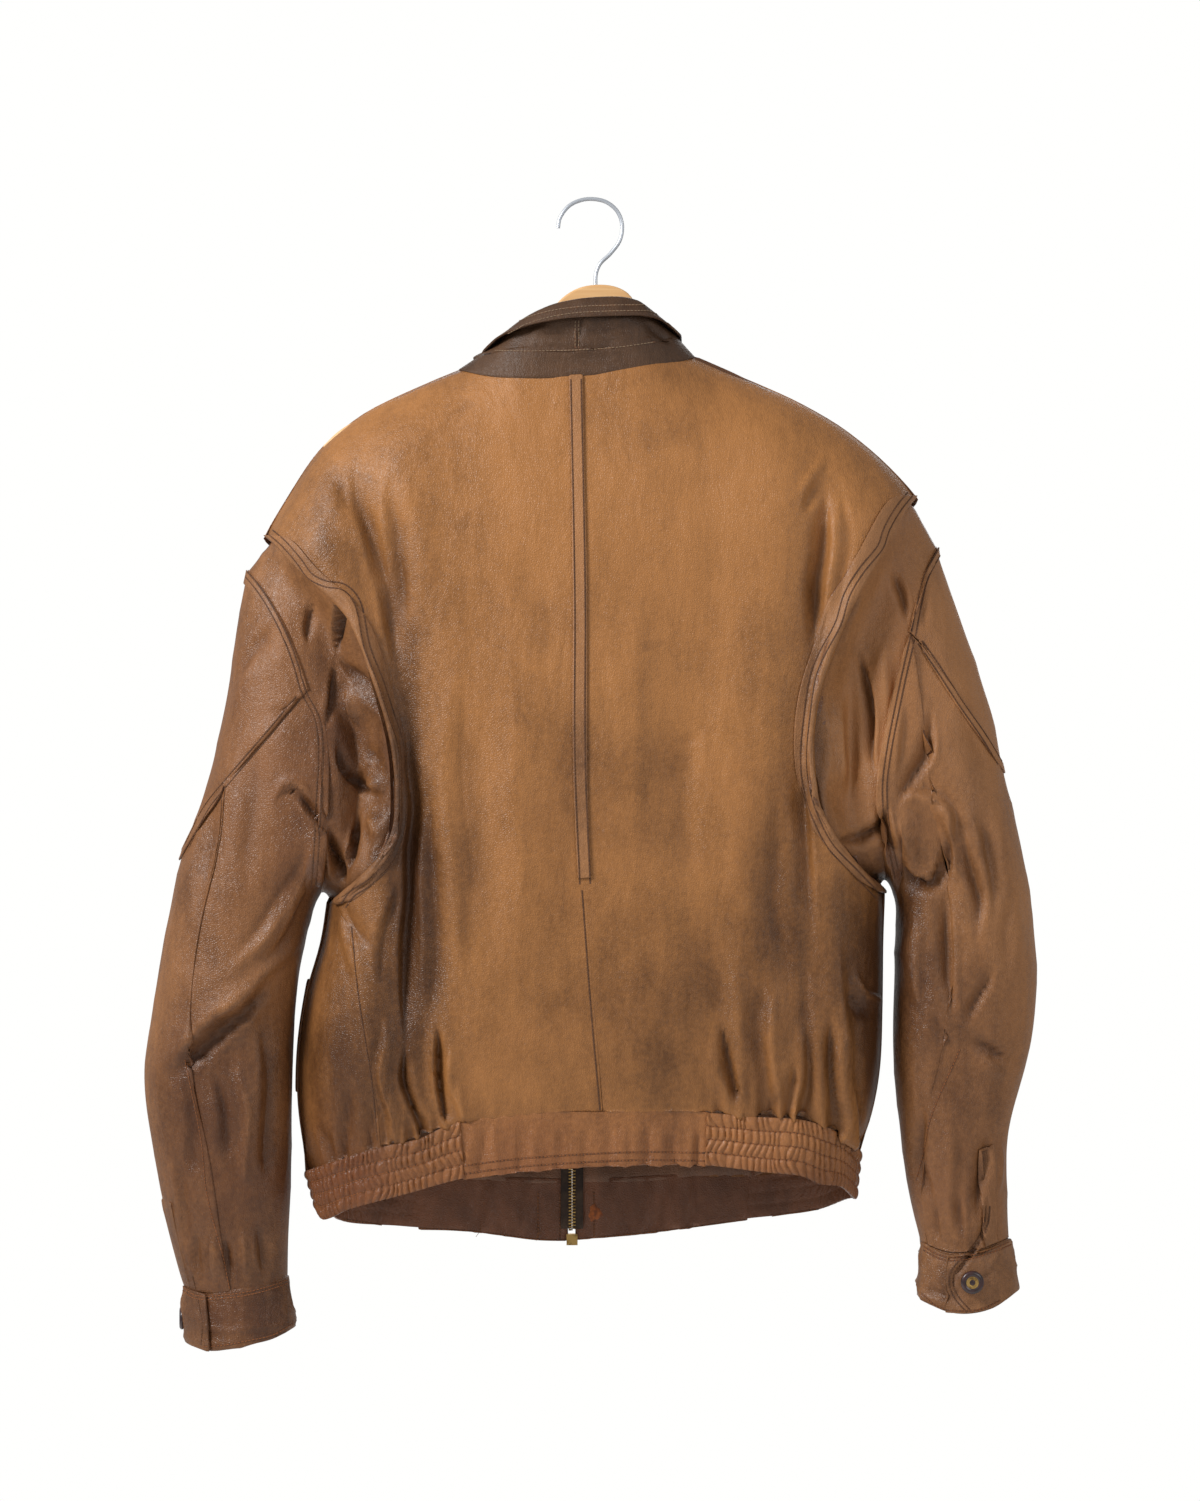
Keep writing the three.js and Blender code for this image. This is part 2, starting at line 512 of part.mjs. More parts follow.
// The left side: from the turn of the body round to the side seam on the back
const SIDE_COLUMNS = 3;
const SEAM_ROWS = 7;
const sideSeam = curve([...SIDE_SEAM_LEFT.slice(0, -1), [380, 1146]]);
const sideGrid = steps(SEAM_ROWS).map((v, k) => {
  const fold = leftFrontGrid[UNDERARM_ROW + k].slice(-1)[0];
  return steps(SIDE_COLUMNS).map((u, j) => {
    const [x, y] = mixPoint([fold.x, fold.y], sideSeam(v), u ** 1.7);
    return j === 0 ? place(x, y, 0) : bodyPoint(x, y, -1);
  });
});
const sideLeft = bodyPiece('side_left', sideGrid, LEATHER.body);

// Strips over the seams of the body
const seamColumns = range(0, leftBackGrid.length - 1).map((i) => {
  const middle = backLeft.outer[i][0].clone().add(backRight.outer[i][0]).multiplyScalar(0.5);
  return [backLeft.outer[i][1], middle, backRight.outer[i][1]];
});
const seamNormals = range(0, leftBackGrid.length - 1).map((i) => [backLeft.normals[i][1],
  backLeft.normals[i][0], backRight.normals[i][1]]);
const STRIP_END_ROW = 15; // the strip stops with a bar of stitches, the seam goes on to the waist
onTop('back_strip', seamColumns.slice(0, STRIP_END_ROW + 1), seamNormals.slice(0, STRIP_END_ROW + 1),
  LEATHER.strip);
function armholeStrip(name, piece, lastRow) {
  const rows = range(ARMHOLE_ROW, lastRow);
  const end = piece.outer[0].length - 1;
  const columns = range(end - 3, end);
  onTop(name, part(piece.outer, rows, columns), part(piece.normals, rows, columns), LEATHER.strip);
}
armholeStrip('armhole_strip_left', backLeft, UNDERARM_ROW - 1);
armholeStrip('armhole_strip_right', backRight, UNDERARM_ROW);

// Sleeves
const RING_HALF = 12; // columns from the outside to the inside of a sleeve, on the back and on the front
const CAP_COLUMNS = 5;
const CUFF_HEIGHT = 1290; // where a cuff begins, down the outline grid
const UPPER_LOWER_SEAM = 18; // the seam on the sleeve's front, counted round the ring
function shareNear(line, [x, y]) {
  const shares = steps(200);
  const distances = shares.map((t) => Math.hypot(line(t)[0] - x, line(t)[1] - y));
  return shares[distances.indexOf(Math.min(...distances))];
}

function buildSleeve(spec, back, front) {
  const outline = [...spec.capOutside.slice(0, -1), ...spec.outside.slice(0, -1), ...spec.cuffOutside];
  const outsideSamples = [spec.tip, ...steps(90).map(curve(outline))];
  const insideSamples = steps(60).map(curve([...spec.inside.slice(0, -1), ...spec.cuffInside]));
  const halfDepth = table(spec.depth);
  const folds = prepareFolds(spec.folds);
  const point = ([x, y], side, onOutline) => {
    if (onOutline) return place(x, y, 0);
    const outside = distanceTo(outsideSamples, x, y);
    const inside = distanceTo(insideSamples, x, y);
    const round = rounding(outside, SLEEVE_ROUND) * rounding(inside, SLEEVE_ROUND);
    const fold = side < 0 ? foldDepth(folds, x, y) * smooth(Math.min(outside, inside) / 18) : 0;
    return place(x, y, side * (halfDepth(y) * round - fold * Math.min(1, round)));
  };
  // From half a ring of outline points to the whole ring: outside, over the back, inside, over the front
  const ring = (half) => [...half.map((p, m) => point(p, -1, m === 0 || m === half.length - 1)),
    ...half.slice(1, -1).reverse().map((p) => point(p, 1, false))];

  const ridge = curve(spec.ridge);
  const ridgeLower = curve(spec.ridgeLower);
  const turn = range(0, CAP_COLUMNS).map((k) => 1 - Math.cos((k / CAP_COLUMNS) * Math.PI / 2));
  const upperRidge = turn.map(ridge);
  const lowerRidge = [0, 0.2, 0.4, 0.58, 0.75, 0.88, 1].map(ridgeLower);

  // Underarm gusset, sewn on from under the edge of the body's armhole
  const backRows = range(ARMHOLE_ROW, UNDERARM_ROW - (spec.wrap ? 1 : 0));
  // Each place on the armhole: the sleeve's seam lies under the panel's edge and goes on under its inside
  const edge = (piece, i, hiddenRow, hiddenColumn) => {
    const column = piece.points[i].length - 1;
    const under = (row, c) => piece.points[row][c].clone().addScaledVector(piece.normals[row][c], -TUCK);
    return { moved: under(i, column), hidden: under(hiddenRow, hiddenColumn),
      movedNormal: piece.normals[i][column], hiddenNormal: piece.normals[hiddenRow][hiddenColumn] };
  };
  const edgeOf = (piece, i) => edge(piece, i, i, piece.points[i].length - 2);
  const backEdge = backRows.map((i) => edgeOf(back, i));
  const frontEdge = range(ARMHOLE_ROW, UNDERARM_ROW).map((i) => edgeOf(front, i));
  const outlineColumn = front.points[0].length - 1;
  const underarm = edge(front, UNDERARM_ROW, UNDERARM_ROW + 1, outlineColumn);
  const tip = edge(front, ARMHOLE_ROW, ARMHOLE_ROW - 1, outlineColumn);
  const backLoop = [tip, ...backEdge.slice(1, spec.wrap ? undefined : -1), underarm];
  const loop = [...backLoop, ...frontEdge.slice(1, -1).reverse()];
  const ridgeHalf = [...upperRidge, ...lowerRidge.slice(1)];
  const ridgeRing = ring(ridgeHalf);
  const toOutline = (p) => {
    const scale = UNIT * (1 + Math.min(0, p.y) / EYE.distance);
    return [(p.x - (EYE.x - CROWN[0]) * UNIT) / scale + EYE.x,
      EYE.y - (p.z - (CROWN[1] - EYE.y) * UNIT) / scale];
  };
  const between = [0.25, 0.5, 0.75].map((share) => loop.map(({ moved }, k) => {
    const [x, y] = mixPoint(toOutline(moved), toOutline(ridgeRing[k]), share);
    const onOutline = k === 0 || k === ridgeHalf.length - 1;
    const side = k < ridgeHalf.length ? -1 : 1;
    const target = point([x, y], side, onOutline);
    const straight = moved.clone().lerp(ridgeRing[k], share);
    return straight.lerp(target, onOutline ? 0 : smooth(share * 2.4));
  }));
  const gussetGrid = [loop.map(({ hidden }) => hidden), loop.map(({ moved }) => moved), ...between, ridgeRing];
  // Cap over the upper arm
  const capDiagonal = curve(spec.capDiagonal);
  const capSurface = patch(ridge, capDiagonal, curve(spec.capOutside),
    (v) => mixPoint(spec.ridge[spec.ridge.length - 1], spec.capDiagonal[spec.capDiagonal.length - 1], v));
  const CAP_ROWS = 7;
  const capShares = [0, spec.stripShare, ...range(1, CAP_ROWS - 1).map((k) => mix(spec.stripShare, 1,
    k / (CAP_ROWS - 1)))];
  const capGrid = capShares.map((v) => range(-CAP_COLUMNS, CAP_COLUMNS).map((k) => point(
    capSurface(turn[Math.abs(k)], v), k > 0 ? 1 : -1, k === 0)));

  // Sleeve tube from the cap to the cuff
  const top = [...turn.map(capDiagonal), spec.ridge[spec.ridge.length - 1], ...lowerRidge.slice(1)];
  const lengths = top.map((p, k) => (k ? Math.hypot(p[0] - top[k - 1][0], p[1] - top[k - 1][1]) : 0));
  let run = 0;
  const total = lengths.reduce((sum, l) => sum + l, 0);
  const topShares = lengths.map((l) => { run += l; return run / total; });
  const guide = curve(spec.guides[0]);
  const second = curve(spec.guides[1]);
  const seam = table(spec.seam);
  const a = spec.seamColumn;
  const acrossShares = (height) => {
    const at = seam(height);
    return range(0, RING_HALF).map((m) => (m <= a ? at * (m / a) ** 1.6
      : 1 - (1 - at) * ((RING_HALF - m) / (RING_HALF - a)) ** 1.6));
  };
  const first = topShares.map(guide);
  const secondShares = acrossShares(900).map((s, m) => mix(s, topShares[m], 0.5));
  const secondLine = secondShares.map(second);
  const stripRow = top.map((p, m) => {
    const gap = Math.hypot(first[m][0] - p[0], first[m][1] - p[1]);
    return mixPoint(p, first[m], Math.min(0.6, 11 / gap));
  });
  const outside = curve(spec.outside);
  const inside = curve(spec.inside);
  const outsideStart = shareNear(outside, spec.guides[1][0]);
  const insideStart = shareNear(inside, spec.guides[1].slice(-1)[0]);
  const cuffSeam = curve(spec.cuffSeam);
  const MAIN_ROWS = 8;
  const lowerRows = range(1, MAIN_ROWS).map((k) => {
    const v = k / MAIN_ROWS;
    const start = outside(mix(outsideStart, 1, v));
    const end = inside(mix(insideStart, 1, v));
    const shares = acrossShares((start[1] + end[1]) / 2);
    const bottomShares = acrossShares(CUFF_HEIGHT);
    return shares.map((s, m) => {
      const blend = mix(secondShares[m], s, smooth(v * 2));
      const straight = mixPoint(start, end, blend);
      const topOffset = mixPoint(second(0), second(1), secondShares[m]);
      const low = cuffSeam(bottomShares[m]);
      const bottomLine = mixPoint(cuffSeam(0), cuffSeam(1), bottomShares[m]);
      return [0, 1].map((q) => straight[q] + (1 - v) * (secondLine[m][q] - topOffset[q])
        + v * (low[q] - bottomLine[q]));
    });
  });
  const halves = [top, stripRow, first, first.map((p, m) => mixPoint(p, secondLine[m], 0.5)), secondLine,
    ...lowerRows];
  const tube = halves.map(ring);
  const ringSize = tube[0].length;

  const cuffShares = acrossShares(CUFF_HEIGHT);
  const edgeCurve = curve(spec.cuffEdge);
  const cuffOutside = curve(spec.cuffOutside);
  const cuffInside = curve(spec.cuffInside);
  const cuffGrid = [0, 0.33, 0.67, 1].map((v) => ring(cuffShares.map((share) => {
    const straight = mixPoint(cuffOutside(v), cuffInside(v), share);
    const high = cuffSeam(share);
    const low = edgeCurve(share);
    const highLine = mixPoint(cuffSeam(0), cuffSeam(1), share);
    const lowLine = mixPoint(edgeCurve(0), edgeCurve(1), share);
    return [0, 1].map((q) => straight[q] + (1 - v) * (high[q] - highLine[q]) + v * (low[q] - lowLine[q]));
  })));

  // Across each seam the neighbour's next row keeps the normals alike on both sides
  const gussetNext = range(0, ringSize - 3).map((k) => {
    const half = ridgeHalf.length - 1;
    const m = k <= half ? k : 2 * half - k;
    const onBack = k <= half;
    if (m < CAP_COLUMNS) return capGrid[1][onBack ? CAP_COLUMNS - m : CAP_COLUMNS + m];
    const column = m + 1;
    return tube[1][onBack ? column : ringSize - column];
  });
  const gussetLast = gussetGrid[gussetGrid.length - 2];
  const gussetNormals = faceOut(gridNormals(gussetGrid, true, { below: gussetNext }), 0, spec.outward);
  gussetNormals[0] = loop.map(({ hiddenNormal }) => hiddenNormal);
  gussetNormals[1] = loop.map(({ movedNormal }) => movedNormal);
  clothPiece(`sleeve_gusset_${spec.side}`, gussetGrid, LEATHER.sleeve,
    { closed: true, wall: SLEEVE_WALL, normals: gussetNormals, inset: SLEEVE_INSET });

  const gussetSize = gussetLast.length;
  const overCap = (row, size) => range(0, 2 * CAP_COLUMNS).map((k) => (k <= CAP_COLUMNS ? row[CAP_COLUMNS - k]
    : row[(size - (k - CAP_COLUMNS)) % size]));
  const capNormals = faceOut(gridNormals(capGrid, false, { above: overCap(gussetLast, gussetSize),
    below: overCap(tube[1], ringSize) }), CAP_COLUMNS, spec.outward);
  const cap = clothPiece(`sleeve_cap_${spec.side}`, capGrid, LEATHER.sleeve,
    { wall: SLEEVE_WALL, normals: capNormals, inset: SLEEVE_INSET });

  const tubeAbove = tube[0].map((p, c) => {
    const m = c <= RING_HALF ? c : ringSize - c;
    const onBack = c <= RING_HALF;
    const lastCapRow = capGrid[capGrid.length - 2];
    if (m <= CAP_COLUMNS) return lastCapRow[onBack ? CAP_COLUMNS - m : CAP_COLUMNS + m];
    const k = m - 1;
    return gussetLast[onBack ? k : gussetSize - k];
  });
  const tubeNormals = faceOut(gridNormals(tube, true, { above: tubeAbove, below: cuffGrid[1] }), 0,
    spec.outward);
  const wrapColumns = (grid, columns) => grid.map((row) => columns.map((c) => row[(c + ringSize) % ringSize]));
  const upperColumns = range(UPPER_LOWER_SEAM - ringSize, a);
  const underColumns = range(a, UPPER_LOWER_SEAM);
  const underInset = (j) => (Math.abs(underColumns[j] - RING_HALF) < 3 ? UNDERARM_INSET : SLEEVE_INSET);
  const upper = clothPiece(`sleeve_upper_${spec.side}`, wrapColumns(tube, upperColumns), LEATHER.sleeve,
    { wall: SLEEVE_WALL, normals: wrapColumns(tubeNormals, upperColumns), inset: SLEEVE_INSET });
  clothPiece(`sleeve_under_${spec.side}`, wrapColumns(tube, underColumns), LEATHER.sleeve,
    { wall: SLEEVE_WALL, normals: wrapColumns(tubeNormals, underColumns), inset: underInset });

  // Strips: along the cap's upper edge, and along the diagonal on the sleeve below it
  onTop(`ridge_strip_${spec.side}`, cap.outer.slice(0, 2), cap.normals.slice(0, 2), LEATHER.strip);
  const first0 = ringSize - UPPER_LOWER_SEAM; // the outside's column in the upper piece
  const diagonalColumns = range(first0 - CAP_COLUMNS, first0 + Math.min(a, CAP_COLUMNS));
  onTop(`diagonal_strip_${spec.side}`, part(upper.outer, [0, 1], diagonalColumns),
    part(upper.normals, [0, 1], diagonalColumns), LEATHER.strip);

  // Cuff, its overlapping tab, the placket above it and the button
  const cuffNormals = faceOut(gridNormals(cuffGrid, true, { above: tube[tube.length - 2] }), 0, spec.outward);
  const cuff = clothPiece(`cuff_${spec.side}`, cuffGrid, LEATHER.sleeve,
    { closed: true, wall: CUFF_WALL, normals: cuffNormals });
  const tabColumns = spec.tabColumns.map((c) => (c + ringSize) % ringSize);
  const tabRows = range(0, 3);
  const lift = LIFT;
  onTop(`cuff_tab_${spec.side}`, part(cuff.outer, tabRows, tabColumns), part(cuff.normals, tabRows, tabColumns),
    LEATHER.strip, 1.8, lift);
  const tabTop = part(cuff.outer, tabRows, tabColumns).map((row, i) => row.map((p, j) => p.clone()
    .addScaledVector(cuff.normals[tabRows[i]][tabColumns[j]], lift + 1.8)));
  addButton(`cuff_button_${spec.side}`, spec, tabTop.flat());
  const placketRows = range(tube.length - 3, tube.length - 1);
  const placketColumns = spec.placketColumns.map((m) => first0 + m);
  onTop(`placket_${spec.side}`, part(upper.outer, placketRows, placketColumns),
    part(upper.normals, placketRows, placketColumns), LEATHER.strip);
}

function lathe(profile, segments) {
  const points = profile.map(([r, z]) => new THREE.Vector2(r, z));
  return new THREE.LatheGeometry(points, segments);
}

function addButton(name, spec, tabPoints) {
  const rim = BUTTON_RADIUS;
  const profile = [[0, 0], [rim - 1.2, 0], [rim, 1.2], [rim - 0.4, 2.8], [rim - 2, 3.4], [rim - 3.4, 2.4],
    [3.2, 2.2], [2.4, 2.9], [0, 2.9]];
  const geometry = lathe(profile, 18); // its axis is Y
  const mesh = addMesh(name, geometry, BUTTON);
  const [x, y] = spec.buttonAt;
  if (spec.buttonFaces === 'side') {
    const left = Math.min(...tabPoints.map((p) => p.x));
    mesh.rotation.z = Math.PI / 2;
    mesh.position.copy(place(x, y, 0)).setX(left - LIFT);
  } else {
    const near = Math.min(...tabPoints.map((p) => p.y));
    mesh.rotation.x = Math.PI;
    mesh.position.copy(place(x, y, near)).setY(near - LIFT + BUTTON_SEAT);
  }
}
const LEFT = new THREE.Vector3(-1, 0, 0);
const RIGHT = new THREE.Vector3(1, 0, 0);
buildSleeve({ ...LEFT_SLEEVE, outward: LEFT, wrap: true }, backLeft, frontLeft);
buildSleeve({ ...RIGHT_SLEEVE, outward: RIGHT, wrap: false }, backRight, frontRight);

// Pocket welts on the two fronts
function welt(name, piece, rows, columns) {
  onTop(name, part(piece.outer, rows, columns), part(piece.normals, rows, columns), LEATHER.strip, 2.2);
}
const POCKET_ROWS = range(UNDERARM_ROW + 2, UNDERARM_ROW + 5);
welt('pocket_welt_left', frontLeft, POCKET_ROWS, range(FRONT_COLUMNS - 2, FRONT_COLUMNS - 1));
welt('pocket_welt_right', frontRight, POCKET_ROWS, range(FRONT_COLUMNS - 4, FRONT_COLUMNS - 3));

// Collar: a ring of columns from the left front round the neck to the right front
const neckPoints = [...frontLeft.points[0].slice(0, -1), ...backLeft.points[0].slice().reverse(),
  ...backRight.points[0].slice(1), ...frontRight.points[0].slice().reverse().slice(1)];
const neckGrid = [...leftFrontGrid[0].slice(0, -1), ...leftBackGrid[0].slice().reverse(),
  ...rightBackGrid[0].slice(1), ...rightFrontGrid[0].slice().reverse().slice(1)];
const neckNormals = [...frontLeft.normals[0].slice(0, -1), ...backLeft.normals[0].slice().reverse(),
  ...backRight.normals[0].slice(1), ...frontRight.normals[0].slice().reverse().slice(1)];
const rollHeight = reader(COLLAR_ROLL, 0, 1);
const leafHeight = reader(COLLAR_LEAF_EDGE, 0, 1);
const NECK_MIDDLE = 577;
function collarColumn(place0, point, normal) {
  const { x, y, side } = place0;
  const lean = side < 0 ? 0.26 : 0.2;
  const rollX = x + (NECK_MIDDLE + (side < 0 ? 18 : 0) - x) * lean;
  const sideHeight = x < NECK_MIDDLE ? 24 : 31;
  const frontShare = side < 0 ? 0 : clamp((y - (x < NECK_MIDDLE ? 370 : 357)) / 80);
  const rollY = side < 0 ? rollHeight(rollX) : y - mix(sideHeight, COLLAR_FRONT_HEIGHT, frontShare);
  const across = Math.abs(x - NECK_MIDDLE) / 116;
  const standShare = side < 0 ? mix(0.36, 0.5, across) : 0.6;
  const depth = point.y;
  const base = point.clone();
  const roll = place(rollX, rollY + COLLAR_FOLD_DROP, depth * 0.86);
  const stand = base.clone().lerp(roll, standShare);
  base.z += COLLAR_CLEARANCE * Math.abs(normal.z) + 0.2;
  const outward = Math.sign(x - NECK_MIDDLE) * smooth(Math.abs(x - NECK_MIDDLE) / 60);
  const leafX = rollX + outward * mix(10, 16, frontShare);
  const leafY = side < 0
    ? Math.min(leafHeight(rollX) + 2, rollY + 26)
    : rollY + mix(22, 62, smooth(frontShare));
  const body = side < 0 ? roll.y - mix(4.5, 1, clamp(across) ** 4)
    : Math.max(roll.y + 5, bodyDepth(leafX, leafY, 1) + WALL + 3.5);
  const onOutline = Math.abs(depth) < 0.05;
  const leaf = place(leafX, leafY, onOutline ? 0 : body);
  return { base, stand, roll, leaf };
}
const collar = neckPoints.map((point, k) => collarColumn(neckGrid[k], point, neckNormals[k]));
const backColumn = Math.floor(collar.length / 2);
const TO_BACK = new THREE.Vector3(0, -1, 0);
function collarPiece(name, rows, raiseBy = 0) {
  const normals = faceOut(gridNormals(rows, false), backColumn, TO_BACK);
  const points = rows.map((row, i) => row.map((p, j) => p.clone().addScaledVector(normals[i][j], raiseBy)));
  return clothPiece(name, points, LEATHER.collar, { wall: COLLAR_WALL, normals });
}
const standRow = collar.map(({ stand }) => stand);
const innerRoll = collar.map(({ roll }) => roll);
collarPiece('collar_stand', [collar.map(({ base }) => base), collar.map(({ base, stand }) => base.clone()
  .lerp(stand, 0.5)), standRow]);
collarPiece('collar_under', [standRow, standRow.map((p, k) => p.clone().lerp(innerRoll[k], 0.5)), innerRoll]);
// The leaf starts over the under collar's upper edge and falls outside it
const underNormals = faceOut(gridNormals([standRow, innerRoll], false), backColumn, TO_BACK);
const overRoll = (up, out) => innerRoll.map((p, k) => p.clone().add(new THREE.Vector3(0, 0, up))
  .addScaledVector(underNormals[1][k], out));
collarPiece('collar_leaf', [overRoll(COLLAR_WALL + 0.5, 0.3), overRoll(1, COLLAR_WALL + 1.8),
  collar.map(({ leaf }, k) => leaf.clone().addScaledVector(underNormals[1][k], 4))]);

// Hem band: a loop of columns, drawn at two heights and read between them
const curves = { waistBack: reader(WAIST_BACK, 0, 1), waistFront: reader(WAIST_FRONT, 0, 1),
  hemBack: reader(HEM_BACK, 0, 1), hemFront: reader(HEM_FRONT, 0, 1) };
const QUARTER = SIDE_ROUND * Math.PI / 2;
// A distance along the loop from the body's side, negative on the back, becomes a place across
const acrossFromSide = (along) => (Math.abs(along) < QUARTER ? SIDE_ROUND * (1 - Math.cos(along / SIDE_ROUND))
  : SIDE_ROUND + Math.abs(along) - QUARTER);
const alongFromSide = (across) => (across < SIDE_ROUND ? SIDE_ROUND * Math.acos(1 - across / SIDE_ROUND)
  : QUARTER + across - SIDE_ROUND);
const BAND_TOP_GAP = 1.3;
const WAIST_SPAN = { left: 307, middle: 571, right: 859 };
const hemBelow = table([[WAIST_SPAN.left, 318], [WAIST_SPAN.middle, 571], [WAIST_SPAN.right, 854]]);
function bandColumn(edge, along, shares) {
  const sign = edge === 'left' ? 1 : -1;
  const onBack = along < 0;
  const across = acrossFromSide(along);
  const topX = (edge === 'left' ? WAIST_SPAN.left : WAIST_SPAN.right) + sign * across;
  const bottomX = hemBelow(topX);
  const topY = (onBack ? curves.waistBack : curves.waistFront)(topX) + BAND_TOP_GAP;
  const bottomY = (onBack ? curves.hemBack : curves.hemFront)(bottomX);
  return shares.map((share) => {
    const [x, y] = mixPoint([topX, topY], [bottomX, bottomY], share);
    const full = onBack ? backDepth(y) : frontDepth(y);
    const crown = 1 + 0.05 * (1 - ((x - 590) / 260) ** 2);
    const depth = full * crown * rounding(across, SIDE_ROUND) * (onBack ? -1 : 1);
    return place(x, y, Math.abs(along) < 1e-6 ? 0 : depth);
  });
}
function bandPiece(name, edge, from, to, gathers) {
  const shares = gathers ? [0, 0.25, 0.5, 0.75, 1] : [0, 0.5, 1];
  const count = gathers ? 2 * gathers : Math.max(4, Math.round(Math.abs(to - from) / 24));
  const columns = steps(count).map((t) => {
    const along = mix(from, to, t);
    return bandColumn(edge, Math.abs(along) < (to - from) / count / 2 ? 0 : along, shares);
  });
  const points = shares.map((share, i) => columns.map((column) => column[i]));
  const facing = new THREE.Vector3(edge === 'left' ? -1 : 1, 0, 0);
  const nearestSide = columns.map(([p]) => p.x * facing.x);
  const column = nearestSide.indexOf(Math.max(...nearestSide));
  const flat = !gathers;
  const normals = faceOut(gridNormals(points, false), flat ? Math.floor(count / 2) : column,
    flat ? new THREE.Vector3(0, Math.sign(points[0][Math.floor(count / 2)].y), 0) : facing);
  const raise = gathers ? (i, j) => (j % 2 === 1 ? GATHER_HEIGHT * (i % 2 === 1 ? 1 : 0.35) : 0) : null;
  return clothPiece(name, points, LEATHER.band, { normals, raise });
}
const sideShare = (edge, x) => alongFromSide(edge === 'left' ? x - 307 : 859 - x);
const ELASTIC = { leftBack: 460, leftFront: 410, rightBack: 707, rightFront: 752 };
const BAND_JOINT = 0.05;
const leftGathers = Math.round((sideShare('left', ELASTIC.leftBack) + sideShare('left', ELASTIC.leftFront))
  / GATHER_PITCH);
const rightGathers = Math.round((sideShare('right', ELASTIC.rightBack) + sideShare('right', ELASTIC.rightFront))
  / GATHER_PITCH);
bandPiece('hem_elastic_left', 'left', -sideShare('left', ELASTIC.leftBack) + BAND_JOINT,
  sideShare('left', ELASTIC.leftFront) - BAND_JOINT, leftGathers);
bandPiece('hem_elastic_right', 'right', -sideShare('right', ELASTIC.rightBack) + BAND_JOINT,
  sideShare('right', ELASTIC.rightFront) - BAND_JOINT, rightGathers);
bandPiece('hem_back', 'left', -sideShare('left', ELASTIC.rightBack) + BAND_JOINT,
  -sideShare('left', ELASTIC.leftBack) - BAND_JOINT, 0);
bandPiece('hem_front_left', 'left', sideShare('left', ELASTIC.leftFront) + BAND_JOINT,
  sideShare('left', 565), 0);
bandPiece('hem_front_right', 'right', sideShare('right', ELASTIC.rightFront) + BAND_JOINT,
  sideShare('right', 577), 0);

// Front zip: two tapes behind the edges of the fronts, with a row of teeth on each
const ZIP_X = 571.5;
const ZIP_TOP = 452;
const ZIP_BOTTOM = 1243;
const ZIP_STEPS = 16;
const ZIP_SETBACK = 3.2; // how far the tape lies behind the fronts
const TEETH = { width: 2.2, thickness: 2.6 };
function zipDepth(y) {
  return bodyDepth(ZIP_X, Math.min(y, 1188), 1) - Math.max(0, y - 1188) * 0.02 - ZIP_SETBACK;
}
function zipHalf(name, sign) {
  const [near, far] = [0.15, TEETH.width + 0.4];
  const half = TEETH.thickness / 2;
  const section = [[near, -half], [far, -half], [far, -0.5], [ZIP_TAPE_WIDTH, -0.5], [ZIP_TAPE_WIDTH, 0.5],
    [far, 0.5], [far, half], [near, half]];
  const position = [];
  const index = [];
  const size = section.length;
  steps(ZIP_STEPS).forEach((t) => {
    const y = mix(ZIP_TOP, ZIP_BOTTOM, t);
    const centre = place(ZIP_X, y, zipDepth(y));
    section.forEach(([x, depth]) => position.push(centre.clone().add(new THREE.Vector3(x * sign, depth, 0))));
  });
  for (let i = 0; i < ZIP_STEPS; i += 1) {
    for (let k = 0; k < size; k += 1) {
      const [a, b] = [i * size + k, i * size + (k + 1) % size];
      index.push(a, b, b + size, a, b + size, a + size);
    }
  }
  const outline = section.map(([x, depth]) => new THREE.Vector2(x, depth));
  THREE.ShapeUtils.triangulateShape(outline, []).forEach(([a, b, c]) => {
    index.push(a, c, b);
    const end = ZIP_STEPS * size;
    index.push(end + a, end + b, end + c);
  });
  addMesh(name, solid(position, index), TAPE);
}
zipHalf('zip_left', -1);
zipHalf('zip_right', 1);

// Slider, fixed near the top of the zip, and the pull tab that swings on its lug
const SLIDER_Y = 478;
const SLIDER = { width: 9, height: 11, plate: 1.2 };
const sliderPlace = place(ZIP_X, SLIDER_Y, zipDepth(SLIDER_Y));
const plateFront = sliderPlace.y + TEETH.thickness / 2 + 0.4;
function boxAt(name, size, centre, look) {
  const mesh = addMesh(name, new THREE.BoxGeometry(...size), look);
  mesh.position.set(...centre);
  return mesh;
}
boxAt('zip_slider', [SLIDER.width, SLIDER.plate, SLIDER.height],
  [sliderPlace.x, plateFront + SLIDER.plate / 2, sliderPlace.z], METAL.brass);
// A flat outline, pressed out along one axis
function pressed(name, shape, depth, look, { turn, at, segments = 6 }) {
  const geometry = new THREE.ExtrudeGeometry(shape, { depth, bevelEnabled: false, curveSegments: segments });
  geometry.translate(0, 0, -depth / 2);
  const mesh = addMesh(name, geometry, look);
  mesh.rotation.set(...turn);
  mesh.position.set(...at);
  return mesh;
}
const LUG = { width: 3, radius: 2.6, hole: 1.35, reach: 3 };
const pivot = [sliderPlace.x, plateFront + SLIDER.plate + LIFT + LUG.reach, sliderPlace.z - 1];
const lugShape = new THREE.Shape();
lugShape.moveTo(-LUG.reach, -LUG.radius);
lugShape.lineTo(0, -LUG.radius);
lugShape.absarc(0, 0, LUG.radius, -Math.PI / 2, Math.PI / 2);
lugShape.lineTo(-LUG.reach, LUG.radius);
lugShape.closePath();
lugShape.holes.push(new THREE.Path().absarc(0, 0, LUG.hole, 0, Math.PI * 2, true));
pressed('zip_lug', lugShape, LUG.width, METAL.brass, { turn: [0, Math.PI / 2, Math.PI / 2], at: pivot });

